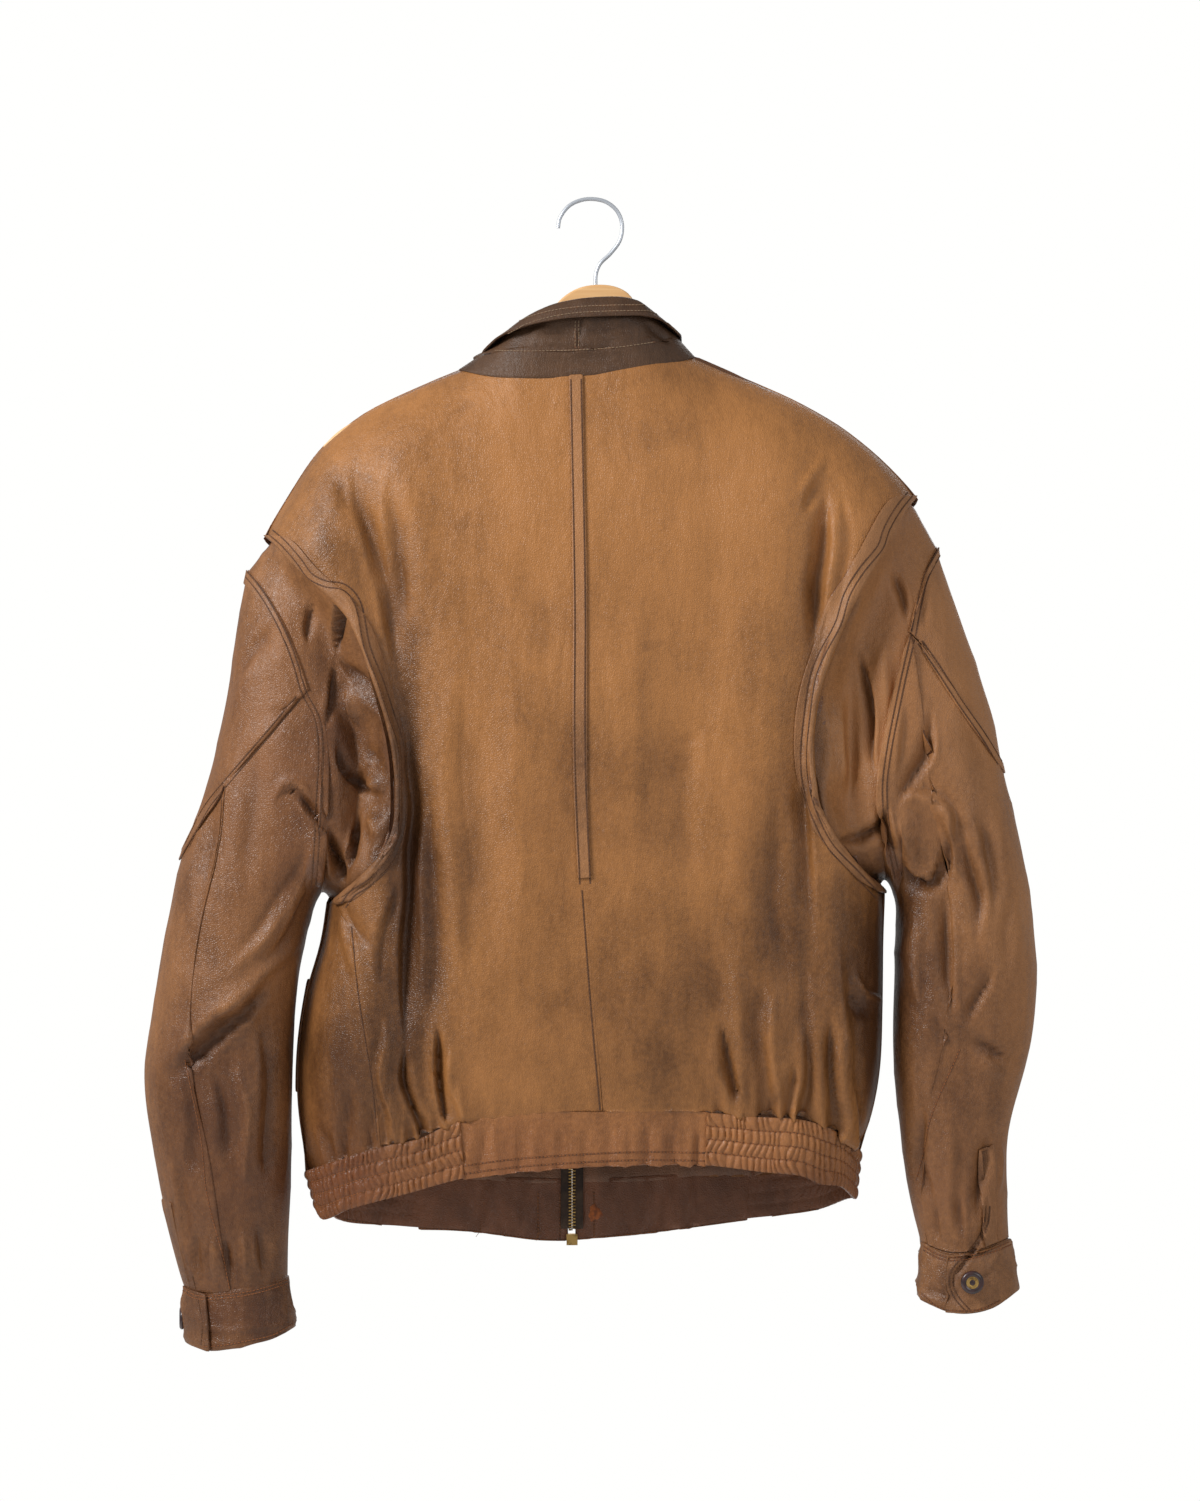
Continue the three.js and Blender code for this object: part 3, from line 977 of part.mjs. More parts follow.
// The tab hangs from a bar through the lug; the bar is left by a window in the tab
const halfTab = PULL_TAB.width / 2;
const bar = PULL_TAB.bar / 2;
const tabShape = new THREE.Shape([[-halfTab, bar], [halfTab, bar], [halfTab, bar - PULL_TAB.length + 2],
  [halfTab - 2, bar - PULL_TAB.length], [2 - halfTab, bar - PULL_TAB.length],
  [-halfTab, bar - PULL_TAB.length + 2]].map(([x, y]) => new THREE.Vector2(x, y)));
const halfWindow = LUG.width / 2 + 0.6;
tabShape.holes.push(new THREE.Path([[-halfWindow, -bar], [-halfWindow, -bar - PULL_TAB.window],
  [halfWindow, -bar - PULL_TAB.window], [halfWindow, -bar]].map(([x, y]) => new THREE.Vector2(x, y))));
pressed('zip_pull_tab', tabShape, PULL_TAB.bar, METAL.brass, {
  turn: [Math.PI / 2 + PULL_TAB.restAngle, 0, 0], at: pivot });
boxAt('zip_box', [9, 4.6, 9], [place(ZIP_X, ZIP_BOTTOM, 0).x, zipDepth(ZIP_BOTTOM),
  place(ZIP_X, ZIP_BOTTOM, 0).z - 4.9], METAL.brass);

// A bent wire or rod: a round section along a line of points
function rod(name, points, radius, segments, look) {
  const path = new THREE.CatmullRomCurve3(points, false, 'centripetal');
  const shape = new THREE.Shape();
  shape.absarc(0, 0, radius, 0, Math.PI * 2);
  const geometry = new THREE.ExtrudeGeometry(shape, { steps: segments, extrudePath: path, curveSegments: 5 });
  return addMesh(name, geometry, look);
}
const wire = HOOK_LINE.map(([x, y]) => place(x, y, 0));
rod('hanger_hook', wire, WIRE_RADIUS, 26, METAL.wire);

// Wooden hanger: a flat bow that follows the shoulders from inside
const shoulderLeft = curve(SHOULDER_LEFT);
const shoulderRight = curve(SHOULDER_RIGHT);
function insideShoulder(line, share, sign) {
  const p = line(share);
  const q = line(share + 0.02);
  const length = Math.hypot(q[0] - p[0], q[1] - p[1]);
  const offset = HANGER_CLEARANCE / UNIT / length;
  return [p[0] - sign * (q[1] - p[1]) * offset, p[1] + sign * (q[0] - p[0]) * offset];
}
const HANGER_SHARES = [0.2, 0.4, 0.6]; // where the shoulder's own rows lie
const hangerTop = [
  ...HANGER_SHARES.slice().reverse().map((t) => insideShoulder(shoulderLeft, t, -1)),
  ...HANGER_NECK,
  ...HANGER_SHARES.map((t) => insideShoulder(shoulderRight, t, 1)),
];
const hangerBottom = hangerTop.map(([x, y], k) => {
  const rise = Math.max(0, 372 - y);
  const end = Math.min(k, hangerTop.length - 1 - k);
  return [x, y + rise + (end === 0 ? HANGER_HEIGHT * 0.5 : HANGER_HEIGHT) / UNIT];
}).reverse();
const hangerOutline = [...hangerTop, ...hangerBottom].map(([x, y]) => {
  const p = place(x, y, 0);
  return new THREE.Vector2(p.x, p.z);
});
const hangerShape = new THREE.Shape(hangerOutline);
const bevel = 1.5;
const hangerGeometry = new THREE.ExtrudeGeometry(hangerShape, {
  depth: 2 * HANGER_HALF_THICKNESS - 2 * bevel, bevelEnabled: true, bevelThickness: bevel, bevelSize: bevel,
  bevelOffset: -bevel, bevelSegments: 1, curveSegments: 1,
});
const hanger = addMesh('hanger_wood', hangerGeometry, WOOD);
hanger.rotation.x = Math.PI / 2;
hanger.position.y = HANGER_HALF_THICKNESS - bevel;

export default jacket;
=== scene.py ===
# %% [markdown]
# A worn leather blouson on a wooden hanger, dressed over its CAD frame.
# The leather shells keep the frame's cut. This lesson gives them their creases, their stitching and
# their worn finish, and makes the hard pieces that the photograph shows sharply.

# %% Frame and tools
import math
import random

import bmesh
import bpy
import numpy as np
from mathutils import Matrix, Vector, kdtree
from mathutils.bvhtree import BVHTree


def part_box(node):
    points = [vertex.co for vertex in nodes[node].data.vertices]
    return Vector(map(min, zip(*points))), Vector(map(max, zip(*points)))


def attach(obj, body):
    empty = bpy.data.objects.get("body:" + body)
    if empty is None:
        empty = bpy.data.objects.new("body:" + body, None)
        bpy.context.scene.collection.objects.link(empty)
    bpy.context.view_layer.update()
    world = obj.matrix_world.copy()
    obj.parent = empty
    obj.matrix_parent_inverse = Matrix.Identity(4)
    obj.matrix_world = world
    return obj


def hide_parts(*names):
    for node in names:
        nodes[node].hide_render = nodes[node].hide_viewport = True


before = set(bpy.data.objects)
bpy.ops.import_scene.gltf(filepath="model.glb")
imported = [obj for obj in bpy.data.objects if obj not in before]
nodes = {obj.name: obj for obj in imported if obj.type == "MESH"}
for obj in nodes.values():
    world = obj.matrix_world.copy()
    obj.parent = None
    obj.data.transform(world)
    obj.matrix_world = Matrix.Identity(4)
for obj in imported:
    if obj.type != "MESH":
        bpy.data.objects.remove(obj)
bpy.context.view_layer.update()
random.seed(4)

# %% [markdown]
# The camera looks square at the back, as the photograph does, from 2.5 m away. At that distance
# one pixel of the 1200 by 1501 picture is 0.8 mm on the jacket's middle plane, so a place seen in
# the photograph turns into metres with one line of arithmetic, and back again.

# %% Camera and the photograph's grid
PIXEL = 0.0008
EYE = Vector((0.0064, -2.5, -0.4396))
GRID_CENTRE = (600.0, 750.5)
PICTURE_HEIGHT = 1501
SENSOR = 36

camera_data = bpy.data.cameras.new("camera")
camera_data.sensor_width = SENSOR
camera_data.lens = SENSOR * -EYE.y / (PICTURE_HEIGHT * PIXEL)
camera = bpy.data.objects.new("camera", camera_data)
camera.location = EYE
camera.rotation_euler = (math.pi / 2, 0, 0)
bpy.context.collection.objects.link(camera)
bpy.context.scene.camera = camera


def to_grid(points):
    """Places in metres as grid places x, y. Only what is nearer than the middle plane grows."""
    scale = PIXEL * (1 + np.minimum(0, points[:, 1]) / -EYE.y)
    return (GRID_CENTRE[0] + (points[:, 0] - EYE.x) / scale,
            GRID_CENTRE[1] - (points[:, 2] - EYE.z) / scale)


def from_grid(x, y, depth):
    """A grid place and a depth in metres, back to a place in space."""
    scale = PIXEL * (1 + min(0, depth) / -EYE.y)
    return Vector(((x - GRID_CENTRE[0]) * scale + EYE.x, depth, (GRID_CENTRE[1] - y) * scale + EYE.z))


# %% [markdown]
# The photograph was lit by soft daylight. A pale floor far below the hem, a plain white ground, an even
# sky and three large soft lamps give the same calm light, a little stronger from the upper left.

# %% Floor and light
FLOOR_HEIGHT = -1.45
bpy.ops.mesh.primitive_plane_add(size=3, location=(0, 0, FLOOR_HEIGHT))
floor = bpy.context.object
floor.name = "floor"

SKY_STRENGTH = 0.34
world = bpy.data.worlds.new("studio")
bpy.context.scene.world = world
world.use_nodes = True
sky = world.node_tree
sky.nodes["Background"].inputs["Color"].default_value = (1, 1, 1, 1)
sky.nodes["Background"].inputs["Strength"].default_value = SKY_STRENGTH
plain_white = sky.nodes.new("ShaderNodeBackground")
plain_white.inputs["Color"].default_value = (1, 1, 0.99, 1)
plain_white.inputs["Strength"].default_value = 1.0
seen_directly = sky.nodes.new("ShaderNodeLightPath")
choose = sky.nodes.new("ShaderNodeMixShader")
sky.links.new(seen_directly.outputs["Is Camera Ray"], choose.inputs[0])
sky.links.new(sky.nodes["Background"].outputs[0], choose.inputs[1])
sky.links.new(plain_white.outputs[0], choose.inputs[2])
sky.links.new(choose.outputs[0], sky.nodes["World Output"].inputs[0])
bpy.context.scene.view_settings.view_transform = "Standard"


CHEST = Vector((0, 0, -0.45))
LAMPS = {"key": ((-1.9, -1.3, 0.9), 0.8, 66), "fill": ((1.7, -1.9, 0.3), 1.4, 13),
         "behind": ((0.3, 2.4, 0.4), 1.8, 16)}
for name, (place, size, power) in LAMPS.items():
    data = bpy.data.lights.new(name, "AREA")
    data.size = size
    data.energy = power
    lamp = bpy.data.objects.new(name, data)
    lamp.location = place
    lamp.rotation_euler = (CHEST - lamp.location).to_track_quat("-Z", "Y").to_euler()
    bpy.context.collection.objects.link(lamp)

# %% [markdown]
# Shader sums are easier to read as sums. A Wire wraps one socket, and + - * on it add Math nodes.
# A Finish holds one material and adds any other node from its type, its settings and its inputs.

# %% Wires and finishes


class Wire:
    """One output socket of a node, which does sums."""

    def __init__(self, finish, socket):
        self.finish = finish
        self.socket = socket

    def sum_with(self, operation, first, second):
        return self.finish.add("ShaderNodeMath", {"operation": operation}, first, second)

    def __add__(self, other):
        return self.sum_with("ADD", self, other)

    def __sub__(self, other):
        return self.sum_with("SUBTRACT", self, other)

    def __mul__(self, other):
        return self.sum_with("MULTIPLY", self, other)

    def __rsub__(self, other):
        return self.sum_with("SUBTRACT", other, self)

    __radd__ = __add__
    __rmul__ = __mul__

    def between(self, low, high):
        """0 below low, 1 above high, and a soft rise between."""
        return self.finish.add("ShaderNodeMapRange", {"interpolation_type": "SMOOTHSTEP"}, self, low, high)


class Finish:
    """One material."""

    def __init__(self, name):
        self.material = bpy.data.materials.new(name)
        self.material.use_nodes = True
        self.tree = self.material.node_tree
        self.tree.nodes.clear()
        self.output = self.tree.nodes.new("ShaderNodeOutputMaterial")

    def add(self, kind, settings, *values, out=0, **named):
        node = self.tree.nodes.new(kind)
        for key, value in settings.items():
            setattr(node, key, value)
        pairs = [(node.inputs[k], v) for k, v in enumerate(values)]
        pairs += [(node.inputs[k.replace("_", " ")], v) for k, v in named.items()]
        for socket, value in pairs:
            if isinstance(value, Wire):
                self.tree.links.new(value.socket, socket)
            elif value is not None:
                socket.default_value = value
        return Wire(self, node.outputs[out])

    def place(self):
        return self.add("ShaderNodeTexCoord", {}, out="Object")

    def noise(self, place, scale, detail, roughness=0.55, distortion=0.0):
        return self.add("ShaderNodeTexNoise", {}, Vector=place, Scale=scale, Detail=detail,
                        Roughness=roughness, Distortion=distortion)

    def stretched(self, place, amounts):
        return self.add("ShaderNodeMapping", {}, Vector=place, Scale=amounts)

    def blend(self, share, first, second):
        node = self.tree.nodes.new("ShaderNodeMix")
        node.data_type = "RGBA"
        for k, value in ((0, share), (6, first), (7, second)):
            if isinstance(value, Wire):
                self.tree.links.new(value.socket, node.inputs[k])
            else:
                node.inputs[k].default_value = value if k == 0 else (*value, 1)
        return Wire(self, node.outputs[2])

    def bump(self, height, distance, strength):
        return self.add("ShaderNodeBump", {}, Height=height, Distance=distance, Strength=strength)

    def surface(self, **sockets):
        shader = self.add("ShaderNodeBsdfPrincipled", {}, **sockets)
        self.tree.links.new(shader.socket, self.output.inputs[0])
        return self.material


def paint(red, green, blue):
    """A colour given in display values, as the shader wants it."""
    return tuple(((c / 255 + 0.055) / 1.055) ** 2.4 if c > 10 else c / 3294.6 for c in (red, green, blue))


PAPER = Finish("floor_paper").surface(Base_Color=(*paint(240, 240, 238), 1), Roughness=0.8)
floor.data.materials.append(PAPER)

# %% [markdown]
# Curves drawn in the photograph's grid say where seams and creases run. Each is a smooth
# line through a few points. A distance to such a line, worked out for all points of a shell at once,
# is all that a crease, the painted shade along it or a seam's edge needs.

# %% Lines in the grid


def smooth_line(points, count=24):
    """Points on a centripetal Catmull-Rom curve through given points."""
    points = [np.array(p, float) for p in points]
    if len(points) == 2:
        return np.array([points[0] + (points[1] - points[0]) * t for t in np.linspace(0, 1, count)])
    points = [2 * points[0] - points[1], *points, 2 * points[-1] - points[-2]]
    line = []
    pieces = len(points) - 3
    for k in range(pieces):
        p0, p1, p2, p3 = points[k:k + 4]
        t1, t2, t3 = np.cumsum([max(1e-6, np.linalg.norm(b - a)) ** 0.5
                                for a, b in ((p0, p1), (p1, p2), (p2, p3))])
        inner = max(2, round(count / pieces))
        for t in np.linspace(t1, t2, inner, endpoint=k == pieces - 1):
            a1 = (t1 - t) / t1 * p0 + t / t1 * p1
            a2 = (t2 - t) / (t2 - t1) * p1 + (t - t1) / (t2 - t1) * p2
            a3 = (t3 - t) / (t3 - t2) * p2 + (t - t2) / (t3 - t2) * p3
            b1 = (t2 - t) / t2 * a1 + t / t2 * a2
            b2 = (t3 - t) / (t3 - t1) * a2 + (t - t1) / (t3 - t1) * a3
            line.append((t2 - t) / (t2 - t1) * b1 + (t - t1) / (t2 - t1) * b2)
    return np.array(line)


def line_distance(x, y, line):
    """Each point's distance to the line, on which side it is, and its share along the line."""
    best = np.full(x.shape, 1e9)
    side = np.zeros(x.shape)
    share = np.zeros(x.shape)
    steps = line[1:] - line[:-1]
    total = np.hypot(steps[:, 0], steps[:, 1]).sum()
    run = 0.0
    for a, d in zip(line[:-1], steps):
        length = math.hypot(*d) or 1e-9
        t = np.clip(((x - a[0]) * d[0] + (y - a[1]) * d[1]) / length**2, 0, 1)
        dx = x - a[0] - t * d[0]
        dy = y - a[1] - t * d[1]
        distance = np.hypot(dx, dy)
        near = distance < best
        best = np.where(near, distance, best)
        side = np.where(near, np.sign(d[0] * dy - d[1] * dx), side)
        share = np.where(near, (run + t * length) / total, share)
        run += length
    return best, side, share


def rise(value, low, high):
    t = np.clip((value - low) / (high - low), 0, 1)
    return t * t * (3 - 2 * t)


# %% [markdown]
# Leather that has hung and been worn is never flat. Broad soft waves come from a small lattice of
# random numbers, read smoothly, and the same lattice read finer gives the small dents between them.

# %% Soft waves
LATTICE = np.random.default_rng(11).uniform(-1, 1, (32, 32, 32))


def waves(points, sizes):
    """Smooth noise from -1 to 1 at the given wave sizes in metres along x, y and z."""
    q = points / np.array(sizes)
    cell = np.floor(q).astype(int)
    f = q - cell
    f = f * f * (3 - 2 * f)
    total = np.zeros(len(points))
    for corner in np.ndindex(2, 2, 2):
        weight = np.prod(np.where(np.array(corner) == 1, f, 1 - f), axis=1)
        i, j, k = ((cell + corner) % 32).T
        total += weight * LATTICE[i, j, k]
    return total


def sharp_waves(points, sizes):
    """Like waves, but with narrow valleys, as where leather buckles."""
    return 1 - 2 * np.abs(waves(points, sizes)) ** 0.6


# %% [markdown]
# Creases follow the photograph. Each one is a line, how wide it is in grid units, how deep it goes
# in millimetres, and how far a soft lip stands up beside it. A negative depth is a ridge.
# The names group them by the part of the jacket that they cross.

# %% Creases seen on the back
CREASES = {
    "body": [
        ([(394, 470), (393, 520), (398, 585), (408, 640)], 10, 3.5),
        ([(352, 455), (362, 510), (376, 560), (392, 620), (402, 690)], 9, 4),
        ([(408, 700), (412, 800), (408, 900), (404, 1000), (405, 1080)], 7, 5),
        ([(424, 760), (430, 860), (434, 960), (436, 1060)], 9, 3.5),
        ([(437, 1012), (438, 1060), (441, 1118)], 4, 6),
        ([(404, 1040), (406, 1090), (418, 1134)], 4, 4),
        ([(452, 1030), (454, 1085), (462, 1118)], 7, -2.5),
        ([(385, 1010), (384, 1080), (392, 1138)], 7, -3),
        ([(352, 1075), (346, 1120), (338, 1156)], 5, 3),
        ([(372, 1090), (366, 1150)], 5, 2.5),
        ([(318, 1120), (330, 1160)], 5, 2),
        ([(826, 478), (825, 545), (821, 602), (812, 660)], 7, 4.5),
        ([(838, 480), (838, 560), (832, 630)], 9, -3),
        ([(790, 505), (800, 484), (814, 470), (830, 450)], 5, -1.8),
        ([(800, 520), (808, 496), (822, 480)], 5, 1.6),
        ([(806, 720), (803, 800), (807, 880), (815, 960)], 8, 3.5),
        ([(780, 760), (776, 860), (782, 960), (800, 1040)], 16, 2.5),
        ([(720, 1012), (728, 1045), (738, 1090)], 3.5, 4.5),
        ([(712, 1030), (722, 1080), (734, 1112)], 6, -2.2),
        ([(748, 1010), (752, 1060), (758, 1112)], 8, -2),
        ([(775, 985), (770, 1040), (772, 1090)], 9, -2.6),
        ([(792, 1060), (790, 1090), (788, 1118)], 5, 3.5),
        ([(806, 1010), (800, 1060), (796, 1110)], 7, -2.4),
        ([(829, 1005), (832, 1060), (836, 1128)], 5, 5),
        ([(846, 1010), (850, 1070), (852, 1140)], 7, -2.5),
        ([(856, 968), (862, 990), (884, 1004)], 5, -3.2),
        ([(850, 985), (858, 1006), (878, 1018)], 5, 3.4),
        ([(690, 700), (684, 800), (690, 900)], 24, 1.6),
        ([(640, 560), (640, 700), (634, 850)], 26, -1.6),
        ([(520, 620), (514, 760), (520, 900), (516, 1000)], 28, -1.6),
        ([(468, 640), (462, 760), (470, 900), (462, 1000)], 18, 2),
        ([(690, 722), (706, 728), (716, 738)], 2.5, 0.9),
        ([(676, 742), (694, 736), (704, 732)], 2.5, 0.8),
        ([(500, 560), (540, 600), (560, 640)], 20, 1),
        ([(640, 470), (690, 480), (740, 470)], 22, 1),
        ([(320, 470), (352, 500), (372, 548)], 14, 1.6),
        ([(344, 900), (356, 930), (378, 950)], 6, 2.2),
        ([(338, 914), (350, 950), (356, 990)], 6, -2),
        ([(402, 870), (386, 930), (380, 1000)], 8, 2.4),
        ([(738, 930), (742, 1060), (748, 1160)], 11, -2.6),
        ([(760, 950), (764, 1060), (772, 1160)], 9, 2.2),
        ([(778, 975), (782, 1060), (796, 1160)], 10, -2.4),
        ([(806, 950), (806, 1050), (810, 1165)], 9, 2.8),
        ([(838, 920), (842, 1050), (844, 1165)], 11, -3.2),
        ([(440, 960), (436, 1060), (446, 1150)], 10, -2.2),
    ],
    "gusset_left": [
        ([(340, 594), (342, 612), (340, 630), (338, 655)], 3.4, 9),
        ([(338, 655), (352, 672), (365, 690), (380, 726)], 3.6, 7),
        ([(338, 655), (333, 680), (328, 706), (320, 731)], 4, 5),
        ([(310, 593), (309, 618), (307, 648)], 4, 3.5),
        ([(356, 680), (350, 704), (354, 726)], 11, -6),
        ([(336, 735), (342, 758), (354, 779), (384, 806)], 5.5, 8),
        ([(364, 745), (372, 752), (384, 766)], 3.5, 4),
        ([(360, 790), (374, 786), (388, 778)], 6, -5),
        ([(358, 806), (354, 830), (352, 852), (347, 880)], 4, 7),
        ([(366, 812), (374, 826), (376, 842)], 7, -4),
        ([(392, 797), (386, 826), (378, 852), (372, 874)], 3.2, 7),
        ([(327, 824), (332, 850), (338, 868), (346, 888)], 6, 12),
        ([(322, 740), (326, 790), (330, 830)], 4.5, 3),
    ],
    "gusset_right": [
        ([(860, 584), (856, 604), (855, 624)], 4, 7),
        ([(852, 640), (860, 662), (868, 690), (870, 720), (870, 755), (876, 784)], 4, 8),
        ([(887, 565), (898, 580), (906, 600), (907, 624)], 5, 4.5),
        ([(882, 640), (886, 680), (884, 720)], 8, -3.5),
        ([(845, 690), (838, 750), (845, 802)], 14, -7),
        ([(836, 838), (858, 833), (880, 822), (886, 800)], 5, 8),
        ([(822, 690), (818, 740), (820, 790), (832, 824)], 3.6, 5),
        ([(832, 842), (850, 860), (876, 882)], 4, 3),
        ([(887, 798), (886, 826), (891, 852)], 5, 9),
    ],
    "sleeve_left": [
        ([(290, 792), (292, 796)], 6, 3.5),
        ([(292, 794), (303, 800), (320, 818), (333, 838)], 5, 6),
        ([(274, 806), (284, 788), (302, 788), (322, 806)], 5, -3.5),
        ([(276, 618), (252, 655), (232, 684)], 8, 2.6),
        ([(262, 640), (240, 690), (224, 740)], 12, -1.6),
        ([(262, 720), (250, 800), (246, 900)], 14, 2.6),
        ([(222, 780), (204, 860), (196, 940)], 12, 1.8),
        ([(312, 838), (292, 900), (250, 950), (216, 980)], 10, -3.6),
        ([(310, 880), (286, 936), (258, 962)], 6, 3),
        ([(144, 1076), (181, 1045), (203, 1024), (242, 996), (282, 959), (308, 928)], 8, -4),
        ([(150, 1094), (186, 1062), (212, 1042), (250, 1012), (292, 978)], 6, 6),
        ([(176, 1062), (190, 1110), (194, 1160)], 7, 2.4),
        ([(214, 1060), (224, 1120), (226, 1180)], 7, 3),
        ([(236, 1044), (246, 1110), (242, 1170)], 7, -2.4),
        ([(262, 1016), (268, 1090), (262, 1160)], 8, 2.6),
        ([(200, 1220), (196, 1256), (202, 1288)], 4.5, 2.8),
        ([(226, 1236), (230, 1288)], 4.5, 3),
        ([(212, 1230), (214, 1286)], 5, -2),
        ([(258, 1226), (262, 1282)], 5, 2.6),
        ([(244, 1226), (246, 1284)], 5, -2),
        ([(180, 1140), (184, 1200), (190, 1262)], 6, 2.2),
    ],
    "sleeve_right": [
        ([(886, 806), (886, 832), (896, 856)], 6, 8),
        ([(888, 800), (920, 797), (946, 812), (953, 852)], 7, -6),
        ([(934, 700), (927, 750), (906, 790), (893, 814)], 6, 5),
        ([(898, 858), (912, 880), (932, 885), (942, 850)], 5, 8),
        ([(948, 826), (950, 858), (944, 890)], 5, 4),
        ([(957, 817), (970, 855), (979, 900), (977, 950)], 7, 5),
        ([(968, 812), (982, 850), (990, 900)], 8, -3.5),
        ([(984, 800), (990, 860), (994, 930)], 12, 2.4),
        ([(944, 880), (948, 940), (954, 1000), (962, 1036)], 7, 4.6),
        ([(918, 900), (916, 960), (922, 1020)], 9, -3),
        ([(1002, 958), (990, 986), (976, 1012), (968, 1036)], 5, 3.6),
        ([(968, 1034), (990, 1048), (1018, 1066)], 5, 4),
        ([(976, 1052), (996, 1066), (1012, 1080)], 6, -2.6),
        ([(930, 1010), (944, 1034), (962, 1050)], 5, 2.4),
        ([(1010, 880), (1008, 930), (1012, 980)], 8, 2),
        ([(916, 1090), (922, 1150), (934, 1220)], 7, 2.8),
        ([(944, 1100), (950, 1160), (950, 1236)], 8, -2),
        ([(932, 1196), (936, 1242)], 4.5, 2.6),
        ([(962, 1190), (960, 1246)], 4.5, 2.6),
        ([(990, 1130), (982, 1180), (980, 1226)], 6, 3.6),
        ([(1000, 1140), (998, 1200)], 5, -2),
        ([(930, 560), (924, 600), (930, 640)], 7, 2),
        ([(960, 700), (980, 760), (990, 800)], 10, 1.6),
        ([(905, 690), (896, 740), (892, 790)], 6, -2),
        ([(984, 1176), (990, 1211), (984, 1234), (965, 1260), (953, 1280), (958, 1294), (972, 1311)],
         2.6, 2.6),
        ([(940, 1258), (962, 1256), (1008, 1246)], 2.4, 1.4),
        ([(1000, 1272), (986, 1278), (974, 1284)], 2.2, 1.2),
        ([(925, 1290), (944, 1296), (962, 1304)], 3, 1.0),
    ],
    "collar": [
        ([(505, 342), (560, 334), (620, 332), (668, 339)], 4, 1.6),
        ([(500, 350), (577, 350), (655, 342)], 2.6, 0.9),
        ([(520, 362), (580, 364), (650, 357)], 6, 0.9),
        ([(516, 334), (536, 327), (556, 324)], 4, 1.4),
        ([(586, 328), (620, 324), (650, 328)], 4, -1.1),
        ([(530, 340), (560, 343), (600, 341)], 4, -1.0),
        ([(640, 322), (662, 332), (680, 346)], 4, 1.4),
        ([(577, 318), (577, 334), (577, 349)], 2.2, 0.9),
    ],
    "hem_flat": [([(x, 1118), (x + lean, 1148), (x - lean, 1170)], wide, deep) for x, lean, wide, deep in (
        (482, 2, 4, 0.9), (497, -2, 5, -0.7), (520, 1, 4, 0.8), (536, -2, 5, -0.8), (560, 2, 5, 0.7),
        (588, -1, 6, 0.7), (612, 1, 4, 0.8), (628, -2, 4, -0.7), (648, 2, 4, 0.9), (662, 1, 5, -0.8),
        (676, -2, 3.5, 1.1), (690, 1, 4, -0.8), (698, 0, 3, 1.2), (470, 1, 4, -0.8))],
}

# %% [markdown]
# The front faces away and isn't seen, but the jacket is looked at from all sides. It gets creases of
# the same kind: pulls below the shoulders, long soft folds and gathers over the waistband.

# %% Creases on the front
FRONT_CREASES = [
    ([(400, 470), (410, 560), (398, 660)], 12, 3.5),
    ([(760, 460), (752, 560), (766, 660)], 12, 3.5),
    ([(456, 520), (446, 640), (452, 780), (440, 900)], 14, 3),
    ([(700, 540), (712, 660), (702, 800), (716, 920)], 14, 3),
    ([(500, 760), (496, 900), (506, 1040), (500, 1140)], 10, -2.4),
    ([(650, 780), (656, 920), (648, 1060), (654, 1140)], 10, -2.4),
    ([(470, 980), (474, 1080), (466, 1176)], 6, 4),
    ([(436, 1000), (430, 1090), (436, 1180)], 6, 4.4),
    ([(404, 1010), (398, 1090), (404, 1180)], 6, -3.4),
    ([(376, 1030), (372, 1110), (378, 1176)], 6, 4),
    ([(344, 1040), (340, 1110), (346, 1172)], 6, 3.4),
    ([(684, 990), (690, 1080), (682, 1180)], 6, 4),
    ([(728, 1000), (722, 1090), (730, 1176)], 6, 4.2),
    ([(764, 1010), (770, 1090), (762, 1170)], 6, -3.2),
    ([(796, 1020), (790, 1090), (798, 1164)], 6, 4),
    ([(826, 1020), (832, 1090), (826, 1160)], 6, 3.2),
    ([(580, 560), (640, 600), (690, 590)], 16, 1.6),
    ([(470, 600), (520, 620), (560, 600)], 16, 1.6),
]
PREPARED = {group: [(smooth_line(path), width, depth) for path, width, depth in rows]
            for group, rows in CREASES.items()}
PREPARED_FRONT = [(smooth_line(path), width, depth) for path, width, depth in FRONT_CREASES]
CREASE_WIDTH = 1.15
CREASE_REACH = 4.2
CREASE_GAIN = {"body": 1.7, "gusset_left": 1.4, "gusset_right": 1.35, "sleeve_left": 1.5, "sleeve_right": 1.5,
               "collar": 2.3, "hem_flat": 2.2}
WAIST_START, WAIST_END = 1085, 1175
FADED_SHARE = 0.4
STEEP_SIDE, GENTLE_SIDE = 0.6, 1.3
STEEP_LIP, GENTLE_LIP = 0.34, 0.16
FRONT_LOWER = {"hem_flat": 68}
OTHERS_LOWER = -30


